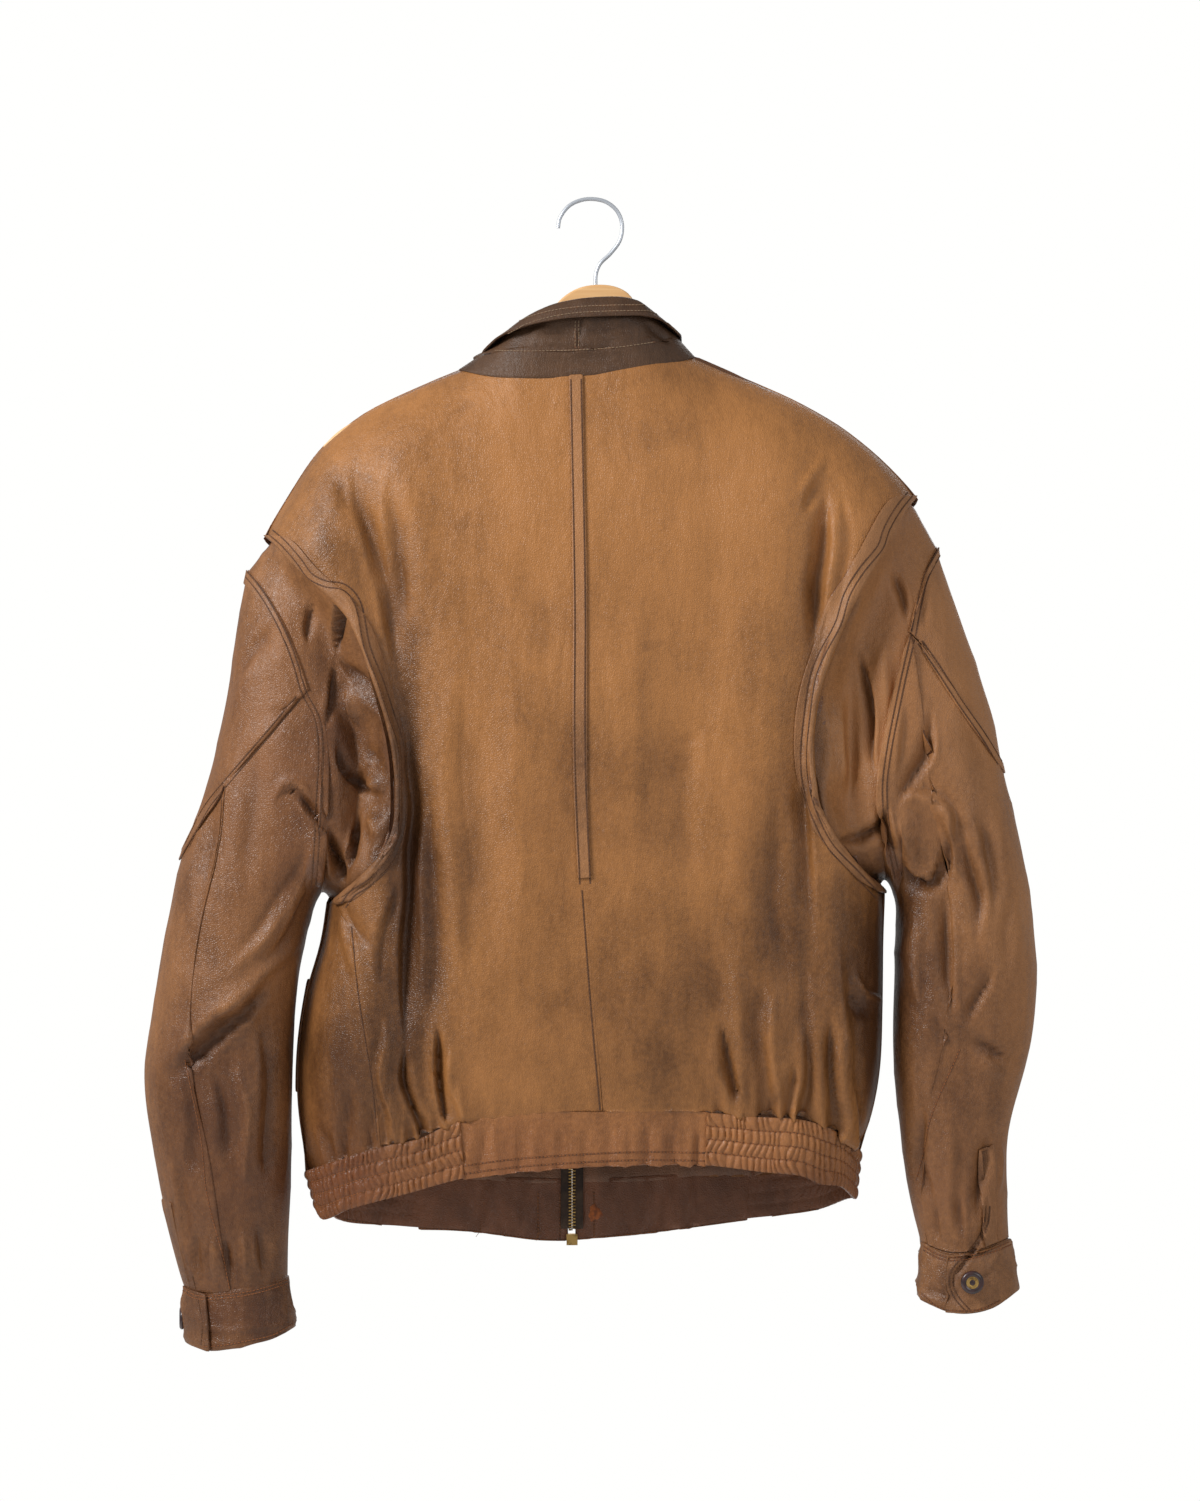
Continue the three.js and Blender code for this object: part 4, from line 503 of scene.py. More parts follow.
def crease_relief(x, y, rows, gain=1.0):
    """Millimetres outwards that the creases move each point, and how much painted shade each point gets in
    one.
    """
    total = np.zeros(len(x))
    shade = np.zeros(len(x))
    for line, width, depth in rows:
        reach = CREASE_REACH * width
        low, high = line.min(0) - reach, line.max(0) + reach
        near = (x > low[0]) & (x < high[0]) & (y > low[1]) & (y < high[1])
        if not near.any():
            continue
        distance, side, share = line_distance(x[near], y[near], line)
        fade = rise(share, 0.0, FADED_SHARE)
        if not WAIST_START <= line[-1, 1] <= WAIST_END:
            fade *= rise(1 - share, 0.0, FADED_SHARE)
        steep = side * (1 if line[0, 0] < GRID_CENTRE[0] else -1) > 0
        lean = np.where(steep, STEEP_SIDE, GENTLE_SIDE)
        d = distance / (CREASE_WIDTH * width * lean * (0.5 + 0.5 * fade))
        lip = np.where(steep, STEEP_LIP, GENTLE_LIP) * np.exp(-((d - 1.6) ** 2) / 0.7)
        total[near] -= gain * depth * fade * (np.exp(-d ** 1.3) - lip)
        # Painted shade: dark along a crease's floor, and a faint dark line beside a ridge.
        if depth > 0:
            shade[near] += fade * min(1.0, depth / 6) * np.exp(-(1.35 * d) ** 1.2)
        else:
            shade[near] += fade * min(0.35, -depth / 14) * np.exp(-((d - 2.0) ** 2) / 0.5)
    return total, shade


# %% [markdown]
# A leather shell starts as a copy of its CAD solid, a wall about 1.5 mm thick. The loose triangles are
# merged and paired into quads, and the wall's hard rims are marked to stay crisp while Subdivision
# Surface rounds the rest. Every point then moves out or in along the outer face's own direction, the
# inner face with it, so the wall keeps its thickness. Five numbers per point are kept for the finish:
# how much painted shade it gets from lying deep in a crease or hollow, how far it stands proud, which
# the finish turns into rubbed wear and painted highlight, whether it is on the inner side, and how light
# and how red the hide is there.

# %% The leather shell
MILLIMETRE = 0.001
RIM_ANGLE = math.radians(58)
RIM_CRISPNESS = 0.75
WIDEST_WALL = 0.0024
DRIFT = 4.5
DRIFT_SIZES = (0.03, 0.2, 0.035)
BODY_CORE = (-0.155, 0.145)
NECK_CORE = (-0.05, 0.03)
SPINES = {
    "left": [(540, 272), (700, 262), (900, 240), (1084, 215), (1200, 226), (1290, 236), (1345, 240)],
    "right": [(500, 915), (620, 945), (765, 944), (900, 962), (1022, 965), (1122, 955), (1240, 966),
              (1310, 967)],
}


def select_only(*objects):
    for other in list(bpy.context.selected_objects):
        other.select_set(False)
    for chosen in objects:
        chosen.select_set(True)
    bpy.context.view_layer.objects.active = objects[0]


def outward_guess(points, around):
    """Roughly away from the middle of the body or of a sleeve."""
    if around == "flat":
        return np.stack([np.zeros(len(points)), np.sign(points[:, 1]), np.zeros(len(points))], axis=1)
    if around in ("body", "neck"):
        middle = np.clip(points[:, 0], *(BODY_CORE if around == "body" else NECK_CORE))
    else:
        heights, places = zip(*SPINES[around])
        _, y = to_grid(points)
        middle = (np.interp(y, heights, places) - GRID_CENTRE[0]) * PIXEL + EYE.x
    return np.stack([points[:, 0] - middle, points[:, 1], np.zeros(len(points))], axis=1)


def placed(name, data):
    """A new object in the scene, and the only one selected."""
    made = bpy.data.objects.new(name, data)
    bpy.context.collection.objects.link(made)
    select_only(made)
    return made


def built_mesh(name, build):
    mesh = bpy.data.meshes.new(name)
    build.to_mesh(mesh)
    build.free()
    return mesh


def shape_by(made, kind, **settings):
    """A modifier with these settings, applied at once."""
    modifier = made.modifiers.new("shape", kind)
    for key, value in settings.items():
        setattr(modifier, key, value)
    bpy.ops.object.modifier_apply(modifier=modifier.name)


def shade_smooth(degrees):
    bpy.ops.object.shade_smooth_by_angle(angle=math.radians(degrees))


def is_sharp(edge):
    return len(edge.link_faces) == 2 and edge.calc_face_angle(0) > RIM_ANGLE


def is_rim(face):
    """Whether this is one of the narrow faces round a wall's edge."""
    return any(map(is_sharp, face.edges)) and face.calc_area() < WIDEST_WALL * max(
        edge.calc_length() for edge in face.edges)


def shell_mesh(node, levels, reach):
    """A smooth, closed copy of a CAD wall, its edges grown by reach so that neighbours meet."""
    build = bmesh.new()
    build.from_mesh(nodes[node].data)
    bmesh.ops.remove_doubles(build, verts=build.verts, dist=2e-5)
    bmesh.ops.join_triangles(build, faces=build.faces, angle_face_threshold=math.radians(50),
                             angle_shape_threshold=math.radians(70))
    crease = build.edges.layers.float.new("crease_edge")
    for edge in filter(is_sharp, build.edges):
        edge[crease] = RIM_CRISPNESS
    moves = {}
    for face in filter(is_rim, build.faces if reach else ()):
        for vertex in face.verts:
            known = moves.setdefault(vertex, [])
            if all(face.normal.dot(other) < 0.8 for other in known):
                known.append(face.normal.copy())
    for vertex, directions in moves.items():
        vertex.co += reach * sum(directions, Vector())
    mesh = built_mesh(f"{node}_leather", build)
    mesh.materials.clear()
    shell = placed(mesh.name, mesh)
    shape_by(shell, "SUBSURF", levels=levels, render_levels=levels)
    return shell


def read_mesh(mesh):
    points = np.empty(len(mesh.vertices) * 3)
    normals = np.empty(len(mesh.vertices) * 3)
    mesh.vertices.foreach_get("co", points)
    mesh.vertices.foreach_get("normal", normals)
    return points.reshape(-1, 3), normals.reshape(-1, 3)


def write_points(mesh, points):
    mesh.vertices.foreach_set("co", points.ravel())
    mesh.update()


def outward_field(points, normals, around):
    """The outer face's direction at every point, the inner face's points included."""
    guess = outward_guess(points, around)
    guess /= np.maximum(1e-6, np.linalg.norm(guess, axis=1))[:, None]
    outer = np.flatnonzero((normals * guess).sum(1) > 0.35)
    if not len(outer):
        return normals, np.ones(len(points), bool)
    tree = kdtree.KDTree(len(outer))
    for k, index in enumerate(outer):
        tree.insert(points[index], k)
    tree.balance()
    is_outer = np.zeros(len(points), bool)
    is_outer[outer] = True
    field = normals.copy()
    for index in np.flatnonzero(~is_outer):
        field[index] = normals[outer[tree.find(points[index])[1]]]
    return field, is_outer


def store(mesh, **numbers):
    """Numbers for every point, which the leather's finish reads by name."""
    for name, values in numbers.items():
        layer = mesh.attributes.new(name, "FLOAT", "POINT")
        layer.data.foreach_set("value", values.astype(np.float32))


def leather_shell(node, group, around, finish, levels=3, wave=1.0, extra=None, reach=0.0008, sink=0.0):
    shell = shell_mesh(node, 2 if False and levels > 2 else levels, reach)
    points, normals = read_mesh(shell.data)
    field, is_outer = outward_field(points, normals, around)
    x, y = to_grid(points)
    drift_x = x + DRIFT * waves(points + 2.2, DRIFT_SIZES)
    drift_y = y + DRIFT * waves(points + 6.6, DRIFT_SIZES)
    back = 1 - rise(points[:, 1] * 1000, -14, 2)
    front = rise(points[:, 1] * 1000, -2, 14)
    gain = CREASE_GAIN.get(group, 1.0)
    relief, shade = (back * part for part in crease_relief(drift_x, drift_y, PREPARED.get(group, []), gain))
    if group == "body":
        more = crease_relief(drift_x, drift_y, PREPARED_FRONT, gain)
    elif group in PREPARED:
        down = FRONT_LOWER.get(group, OTHERS_LOWER)
        more = crease_relief(drift_x, drift_y - down, PREPARED[group], 0.7 * gain)
    else:
        more = (0, 0)
    relief = relief + front * more[0]
    shade = shade + (0.45 if group == "body" else 0.8) * front * more[1]
    broad = waves(points + 3.0, (0.05, 0.06, 0.2))
    small = waves(points + 7.0, (0.02, 0.03, 0.06))
    relief += wave * (1.5 * broad + 0.45 * small)
    if group.startswith(("sleeve", "gusset")):
        relief += wave * (0.7 * sharp_waves(points + 4, (0.035, 0.05, 0.06))
                          + 0.3 * sharp_waves(points + 8, (0.016, 0.03, 0.03)))
    if extra is not None:
        added = extra(points, x, y, back)
        relief += added
        # Where extra pushes the leather in, the dip also gets painted shade.
        shade += np.clip(-added / 7, 0, 0.8)
    relief -= sink
    write_points(shell.data, points + field * (relief * MILLIMETRE)[:, None])
    # valley holds painted shade for creases and hollows; proud feeds rubbed wear and painted highlight.
    store(shell.data, valley=np.clip(shade + np.clip((-relief - 1) / 16, 0, 0.4), 0, 1),
          proud=np.clip((relief - 0.6) / 3, 0, 1), inside=(~is_outer).astype(float),
          tone=tone_at(x, y, points, group), redness=redness_at(x, y, points))
    shade_smooth(55)
    shell.data.materials.append(finish)
    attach(shell, "jacket")
    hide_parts(node)
    return shell


# %% [markdown]
# Colour isn't even on the real hide. The shoulders are dry and golden, the lower sleeves are darker
# and redder, and the waistband is warm and rubbed. Soft patches, each a place, a size and a strength,
# say where it is lighter or redder. A few narrow dark patches are painted shade rather than colour:
# those along the deepest folds, at (408, 800), (430, 1000), (812, 640) and (290, 860), and the strip
# at the body's right edge beside the sleeve, at (874, 1050).

# %% Where the hide is light or red, and painted shade
# Most entries are the hide's own tone; the narrow dark ones named above are painted shade.
TONE_AND_SHADE_PATCHES = [
    (500, 430, 120, 90, 0.26), (760, 480, 110, 110, 0.2), (560, 620, 90, 170, 0.12), (640, 560, 80, 160, 0.1),
    (720, 720, 70, 200, 0.1), (408, 800, 24, 250, -0.42), (874, 1050, 13, 110, -0.5), (345, 470, 60, 50, 0.1),
    (480, 760, 50, 200, 0.08), (770, 1000, 120, 160, -0.24), (345, 1050, 44, 110, -0.26),
    (265, 820, 40, 120, 0.14), (890, 720, 50, 120, 0.3), (970, 640, 60, 160, 0.2), (965, 1285, 60, 40, 0.16),
    (1010, 1000, 60, 200, 0.12), (640, 436, 46, 22, -0.16), (620, 900, 150, 150, -0.02),
    (780, 1120, 90, 70, 0.16), (300, 560, 30, 24, -0.06), (240, 640, 46, 70, -0.06), (860, 520, 40, 50, 0.08),
    (225, 820, 60, 110, -0.04), (220, 1150, 80, 160, -0.34), (290, 860, 26, 60, -0.22),
    (960, 720, 50, 120, -0.04), (990, 900, 60, 120, 0.06), (950, 1130, 70, 120, -0.18),
    (900, 960, 36, 80, -0.3), (350, 760, 44, 120, -0.12), (845, 740, 38, 120, 0.08),
    (360, 1060, 40, 100, -0.14), (330, 1180, 60, 40, -0.08), (812, 1150, 80, 30, 0.2),
    (580, 1145, 130, 26, 0.02), (230, 1320, 60, 34, -0.24), (965, 1285, 60, 34, -0.28),
    (590, 700, 14, 320, -0.03), (500, 1085, 70, 22, 0.12), (430, 1000, 16, 140, -0.16),
    (812, 640, 14, 120, -0.18),
]
RED_PATCHES = [
    (220, 1000, 110, 330, 0.4), (975, 1120, 80, 180, 0.25), (230, 1320, 80, 50, 0.3),
    (960, 1290, 80, 50, 0.2), (590, 1145, 330, 50, 0.22), (350, 1180, 70, 50, 0.2), (640, 1200, 330, 46, 0.6),
    (440, 850, 60, 300, 0.12), (905, 620, 50, 160, 0.28), (270, 740, 60, 170, 0.35), (350, 740, 50, 160, 0.2),
    (960, 800, 70, 160, 0.2), (720, 1000, 200, 130, 0.08),
]


def patches(x, y, rows):
    total = np.zeros(len(x))
    for cx, cy, rx, ry, strength in rows:
        total += strength * np.exp(-((x - cx) / rx) ** 2 - ((y - cy) / ry) ** 2)
    return total


def tone_at(x, y, points, group):
    base = 0.6 if group == "body" else 0.5 if group in ("collar", "leaf", "band", "hem_flat") else 0.55
    seen = 1 - 0.85 * rise(points[:, 1], -0.012, 0.012)
    drift = 0.12 * waves(points + 1.7, (0.05, 0.09, 0.09))
    return np.clip(base + seen * patches(x, y, TONE_AND_SHADE_PATCHES) + drift, 0, 1)


def redness_at(x, y, points):
    return np.clip(patches(x, y, RED_PATCHES) + 0.12 * waves(points + 5.1, (0.07, 0.07, 0.12)), 0, 1)


# %% [markdown]
# One leather finish serves every shell, with its own colours. Large soft noise mottles the dye, small
# noise adds the pores, and a stretched one the drag marks. Creases and hollows get painted shade, a warm
# dark brown, and proud places go lighter and smoother, partly rubbed wear and partly painted highlight.
# The grain is bump: cells about a millimetre wide and finer wrinkles.

# %% Leather finish


def leather(name, light, dark, red, lining, rough, shade_strength=0.42):
    look = Finish(name)
    place = look.place()
    read = {key: look.add("ShaderNodeAttribute", {"attribute_name": key}, out="Fac")
            for key in ("valley", "proud", "inside", "tone", "redness")}
    cloud = look.noise(place, 11, 5, 0.6)
    mottle = look.noise(look.stretched(place, (1, 1, 0.55)), 42, 6, 0.62)
    speck = look.noise(place, 260, 4, 0.7)
    streak = look.noise(look.stretched(place, (60, 60, 7)), 1, 5, 0.65)
    tone = read["tone"] + (cloud - 0.5) * 0.5 + (mottle - 0.5) * 0.5 + (speck - 0.5) * 0.42 \
        + (streak - 0.5) * 0.34
    colour = look.blend(tone.between(0.02, 0.98), dark, light)
    redder = (read["redness"] + (mottle - 0.5) * 0.4) * 0.9
    colour = look.blend(redder.between(0, 1), colour, red)
    pore = look.add("ShaderNodeTexVoronoi", {"feature": "DISTANCE_TO_EDGE"}, Vector=place, Scale=620.0)
    pore_dark = 1 - pore.between(0.0, 0.12)
    colour = look.blend(pore_dark * 0.16, colour, dark)
    scuff = look.noise(look.stretched(place, (3, 3, 1)), 34, 8, 0.75, 0.6)
    # Painted shade: creases and hollows, by the valley number, are blended towards a warm dark brown.
    painted_shade = (read["valley"] + (scuff - 0.5) * 0.2).between(0.02, 0.9)
    colour = look.blend(painted_shade * shade_strength, colour, tuple(c * share for c, share in zip(dark, (0.5, 0.36, 0.26))))
    # Proud places and random scuffs go lighter: partly rubbed wear, partly painted highlight.
    wear_and_highlight = (read["proud"] * 0.5 + (scuff - 0.5) * 1.5).between(0.2, 1.1)
    colour = look.blend(wear_and_highlight * 0.34, colour, tuple(min(1, c * 1.35 + 0.02) for c in light))
    stain = look.noise(place, 23, 3, 0.5, 1.2).between(0.66, 0.74)
    colour = look.blend(stain * 0.16, colour, dark)
    worn = (mottle * 0.5 + cloud * 0.5).between(0.36, 0.64)
    colour = look.blend(read["inside"], colour, look.blend(worn, tuple(c * 0.55 for c in lining), lining))
    drag = look.noise(look.stretched(place, (1, 1, 0.3)), 90, 6, 0.65)
    buckle = look.noise(look.stretched(place, (1, 1, 0.45)), 38, 5, 0.6, 0.35)
    height = pore.between(0.0, 0.35) * 0.2 + drag * 0.7 + speck * 0.1 + buckle * 2.6
    normal = look.bump(height, 0.0012, 0.75)
    shine = rough + (1 - tone.between(0.2, 0.9)) * -0.1 + (mottle - 0.5) * 0.22 - wear_and_highlight * 0.1
    shine = shine - read["inside"] * (0.1 + worn * 0.12)
    return look.surface(Base_Color=colour, Roughness=shine, Normal=normal, Specular_IOR_Level=0.36)


LINING = paint(134, 92, 66)
HIDE = {
    "body": leather("leather_body", paint(178, 120, 66), paint(76, 46, 24), paint(118, 72, 42), LINING, 0.45),
    "sleeve": leather("leather_sleeve", paint(180, 124, 76), paint(74, 45, 27), paint(104, 62, 38), LINING,
                      0.43),
    "collar": leather("leather_collar", paint(100, 70, 46), paint(46, 29, 19), paint(76, 46, 31),
                      paint(42, 29, 24), 0.55),
    "band": leather("leather_band", paint(188, 126, 74), paint(80, 47, 27), paint(128, 76, 46),
                    paint(134, 86, 60), 0.4, 0.8),
    "strip": leather("leather_strip", paint(178, 124, 78), paint(74, 48, 31), paint(110, 66, 40), LINING,
                     0.5),
}

# %% [markdown]
# The body: two back panels, two fronts and the left side. Where the waistband's elastic pulls the
# leather in, short gathers run up from the seam and die out about a hand's width above it.

# %% Body panels
WAIST_BACK = [(307, 1170), (334, 1161), (359, 1153), (391, 1144), (419, 1138), (455, 1122), (506, 1117),
              (547, 1112), (603, 1112), (705, 1112), (754, 1116), (806, 1120), (841, 1134), (859, 1150)]
WAIST_FRONT = [(307, 1170), (360, 1178), (430, 1184), (500, 1187), (571, 1189), (653, 1186), (744, 1178),
               (820, 1166), (859, 1150)]
GATHERS_UP = 55
PLEAT_PITCH = 15


def height_on(points):
    line = smooth_line(points, 160)
    return lambda x: np.interp(x, line[:, 0], line[:, 1])


def waist_gathers(points, x, y, back):
    """Short pleats that stand on the waist seam, deepest over the elastic."""
    seam = np.where(back > 0.5, height_on(WAIST_BACK)(x), height_on(WAIST_FRONT)(x))
    wander = waves(points + 9, (0.03, 0.2, 0.08))
    elastic = np.clip(rise(-x, -480, -440) + rise(x, 690, 730), 0, 1)
    tall = GATHERS_UP + 45 * waves(points + 5, (0.016, 0.3, 0.5))
    height = rise(1 - (seam - y) / tall, 0, 1.0)
    ripple = 1 - 2 * np.abs(np.sin(x / PLEAT_PITCH * math.pi + 2.4 * wander)) ** 0.6
    return height ** 1.4 * (0.35 + 1.5 * elastic) * (ripple - 0.2)


ARMHOLE = {
    "left": [(265, 536), (278, 547), (293, 564), (306, 581), (324, 590), (341, 593), (351, 604), (361, 649),
             (375, 685), (386, 719), (395, 748), (397, 790), (395, 831), (385, 857), (366, 877), (348, 889),
             (338, 902)],
    "right": [(916, 497), (904, 512), (893, 531), (886, 550), (866, 575), (853, 597), (844, 626), (828, 656),
              (820, 675), (814, 710), (810, 765), (816, 800), (834, 840), (860, 868), (884, 893)],
}


def rolled_edge(hand):
    """The strip round an armhole is a folded roll, thickest along its edge."""
    line = smooth_line(ARMHOLE[hand], 60)

    def lift(points, x, y, back):
        distance, _, share = line_distance(x, y, line)
        return back * (0.3 + 1.9 * np.exp(-((distance - 1.5) / 3.2) ** 2) * rise(share, 0.1, 0.35))
    return lift


TUCK = 0.005
ZIP_LINE = 572


def tuck_in(x, y):
    """The lower edge of a front goes a little way down behind the waistband at the sides."""
    waist = np.interp(x, *zip(*WAIST_FRONT))
    at_the_side = rise(np.abs(x - ZIP_LINE), 110, 190)
    return TUCK * at_the_side * rise(y, waist - 20, waist - 4)


def lower(mesh, by):
    """Each point goes down by what its grid place says, in metres."""
    points, _ = read_mesh(mesh)
    points[:, 2] -= by(*to_grid(points))
    write_points(mesh, points)


for node in ("back_left", "back_right"):
    leather_shell(node, "body", "body", HIDE["body"], extra=waist_gathers)
for node in ("front_left", "front_right"):
    panel = leather_shell(node, "body", "body", HIDE["body"], extra=waist_gathers, reach=0.004, sink=0.4,
                          levels=2)
    lower(panel.data, tuck_in)
leather_shell("side_left", "body", "body", HIDE["body"], extra=waist_gathers, reach=0.003, sink=0.5)
leather_shell("back_strip", "body", "body", HIDE["strip"], reach=0)
for hand in ("left", "right"):
    leather_shell(f"armhole_strip_{hand}", "body", "body", HIDE["strip"], extra=rolled_edge(hand), reach=0)
for hand, shift in {"left": -0.006, "right": 0.002}.items():
    welt = leather_shell(f"pocket_welt_{hand}", "body", "body", HIDE["strip"], reach=0)
    welt.data.transform(Matrix.Translation((shift, 0, 0)))

# %% [markdown]
# The sleeves: on each a deep gusset under the arm, a cap, an upper and an under piece, and the cuff.

# %% Sleeves
PLACKET_LIES_IN = 0.0032
CUFF_MIDDLE = {"left": 1316, "right": 1280}


def under_the_roll(hand):
    """The gusset dips away behind the rolled edge of the armhole."""
    line = smooth_line(ARMHOLE[hand], 60)

    def dip(points, x, y, back):
        distance, _, share = line_distance(x, y, line)
        return -back * 5.5 * np.exp(-(distance / 9) ** 1.5) * rise(share, 0.15, 0.4)
    return dip


def cuff_puckers(hand):
    """Cuffs are padded a little, and creased across from years of turning them back."""
    def puff(points, x, y, back):
        swell = 1.2 * np.exp(-((y - CUFF_MIDDLE[hand]) / 18) ** 2)
        return swell + 1.3 * sharp_waves(points + 4.4, (0.03, 0.03, 0.011)) - 0.8
    return puff


for hand in ("left", "right"):
    leather_shell(f"sleeve_gusset_{hand}", f"gusset_{hand}", "flat", HIDE["sleeve"], wave=1.3,
                  extra=under_the_roll(hand), reach=0.003, sink=0.5)
    for piece in ("sleeve_cap", "sleeve_upper"):
        leather_shell(f"{piece}_{hand}", f"sleeve_{hand}", hand, HIDE["sleeve"])
    leather_shell(f"sleeve_under_{hand}", f"sleeve_{hand}", hand, HIDE["sleeve"], reach=0.004, sink=0.5)
    for piece in ("ridge_strip", "diagonal_strip", "cuff_tab", "placket"):
        strip = leather_shell(f"{piece}_{hand}", f"sleeve_{hand}", hand, HIDE["strip"],
                              extra=cuff_puckers(hand) if piece == "cuff_tab" else None, reach=0)
        if piece == "placket" and hand == "left":
            strip.data.transform(Matrix.Translation((PLACKET_LIES_IN, 0, 0)))
    leather_shell(f"cuff_{hand}", f"sleeve_{hand}", hand, HIDE["sleeve"], extra=cuff_puckers(hand))

# %% [markdown]
# The collar is a stand, an under collar and a leaf that rolls over it. The leaf has gone limp with age,
# and its two ends have settled onto the shoulders by a few millimetres.

# %% Collar and hem
LEAF_SETTLES = [(475, 5), (490, 5), (505, 3), (530, 1.5), (560, 0.5), (640, 0.5), (655, 3), (668, 8),
                (684, 11)]
for node in ("collar_stand", "collar_under", "collar_leaf"):
    leather_shell(node, "collar" if node != "collar_leaf" else "leaf", "neck", HIDE["collar"], wave=0.4,
                  reach=0.0005 if node == "collar_leaf" else 0.0026, levels=2)
lower(bpy.data.objects["collar_leaf_leather"].data, lambda x, y: PIXEL * np.interp(x, *zip(*LEAF_SETTLES)))
for node in ("hem_back", "hem_front_left", "hem_front_right"):
    leather_shell(node, "hem_flat", "body", HIDE["band"], wave=0.5, reach=0.002, sink=0.3)

# %% [markdown]
# The waistband's elastic is the jacket's liveliest part. Three rows of stitches hold the leather to the
# elastic and pull it into dozens of short gathers, which bulge between the rows and are flat on them.
# It is made from the same waist and hem lines as the frame, as a fine grid with a wall.

# %% Gathered elastic
HEM_BACK = [(318, 1209), (324, 1219), (350, 1209), (405, 1194), (464, 1178), (508, 1172), (556, 1168),
            (643, 1164), (705, 1165), (764, 1172), (801, 1176), (820, 1184), (841, 1187), (854, 1199)]
HEM_FRONT = [(318, 1209), (340, 1228), (400, 1236), (469, 1240), (549, 1249), (602, 1246), (653, 1241),
             (744, 1229), (820, 1218), (854, 1199)]
SIDE_ROUND = 75
BACK_BAND_DEPTH = ((1050, 66), (1115, 58), (1240, 56))
FRONT_BAND_DEPTH = ((1100, 58), (1190, 52), (1250, 50))
STITCH_ROWS = (0.25, 0.5, 0.75)
GATHER_PITCH = 6.8
POINTS_PER_GATHER = 8
BAND_ROWS = 33
BAND_SEAMS = []
OUTER_LIFT, GATHER_HEIGHT = 0.0008, 0.00075
INNER_LIFT, INNER_PULL = 0.0006, 0.0005


def band_place(sign, along, v):
    """Places on the waistband. along is counted round from the body's side, negative on the back."""
    quarter = SIDE_ROUND * math.pi / 2
    turn = np.minimum(np.abs(along), quarter) / SIDE_ROUND
    across = np.where(np.abs(along) < quarter, SIDE_ROUND * (1 - np.cos(turn)),
                      SIDE_ROUND + np.abs(along) - quarter)
    top_x = (307 if sign > 0 else 859) + sign * across
    low_x = np.interp(top_x, (307, 571, 859), (318, 571, 854))
    on_back = along < 0
    top_y = np.where(on_back, height_on(WAIST_BACK)(top_x), height_on(WAIST_FRONT)(top_x)) + 0.6
    low_y = np.where(on_back, height_on(HEM_BACK)(low_x), height_on(HEM_FRONT)(low_x))
    x = top_x + (low_x - top_x) * v
    y = top_y + (low_y - top_y) * v
    full = np.where(on_back, np.interp(y, *zip(*BACK_BAND_DEPTH)), np.interp(y, *zip(*FRONT_BAND_DEPTH)))
    crown = 1 + 0.05 * (1 - ((x - 590) / 260) ** 2)
    depth = full * crown * np.sin(turn) * np.where(on_back, -1, 1) * MILLIMETRE
    scale = PIXEL * (1 + np.minimum(0, depth) / -EYE.y)
    return np.stack([(x - GRID_CENTRE[0]) * scale + EYE.x, depth, (GRID_CENTRE[1] - y) * scale + EYE.z], -1)


def along_from(x, side_x):
    across = abs(x - side_x)
    if across < SIDE_ROUND:
        return SIDE_ROUND * math.acos(1 - across / SIDE_ROUND)
    return SIDE_ROUND * math.pi / 2 + across - SIDE_ROUND


def ripples(seed, stretch, offset, shape):
    """Random drift along the band, slow or quick by how far it is stretched."""
    return waves(seed * (stretch, 1, 1) + offset, (1, 1, 1)).reshape(shape)


def grid_faces(rows, columns):
    """Quads of a grid with a wall: the outer layer, the inner one and the four edges between them."""
    layer = rows * columns
    last = layer - columns
    faces = []
    for i in range(rows - 1):
        for j in range(columns - 1):
            a, b = i * columns + j, (i + 1) * columns + j
            faces += [(a, a + 1, b + 1, b), (layer + b, layer + b + 1, layer + a + 1, layer + a)]
    for j in range(columns - 1):
        faces += [(layer + j, layer + j + 1, j + 1, j),
                  (last + j, last + j + 1, layer + last + j + 1, layer + last + j)]
    for i in range(rows - 1):
        a, b = i * columns, (i + 1) * columns
        c, d = a + columns - 1, b + columns - 1
        faces += [(layer + b, layer + a, a, b), (c, layer + c, layer + d, d)]
    return faces


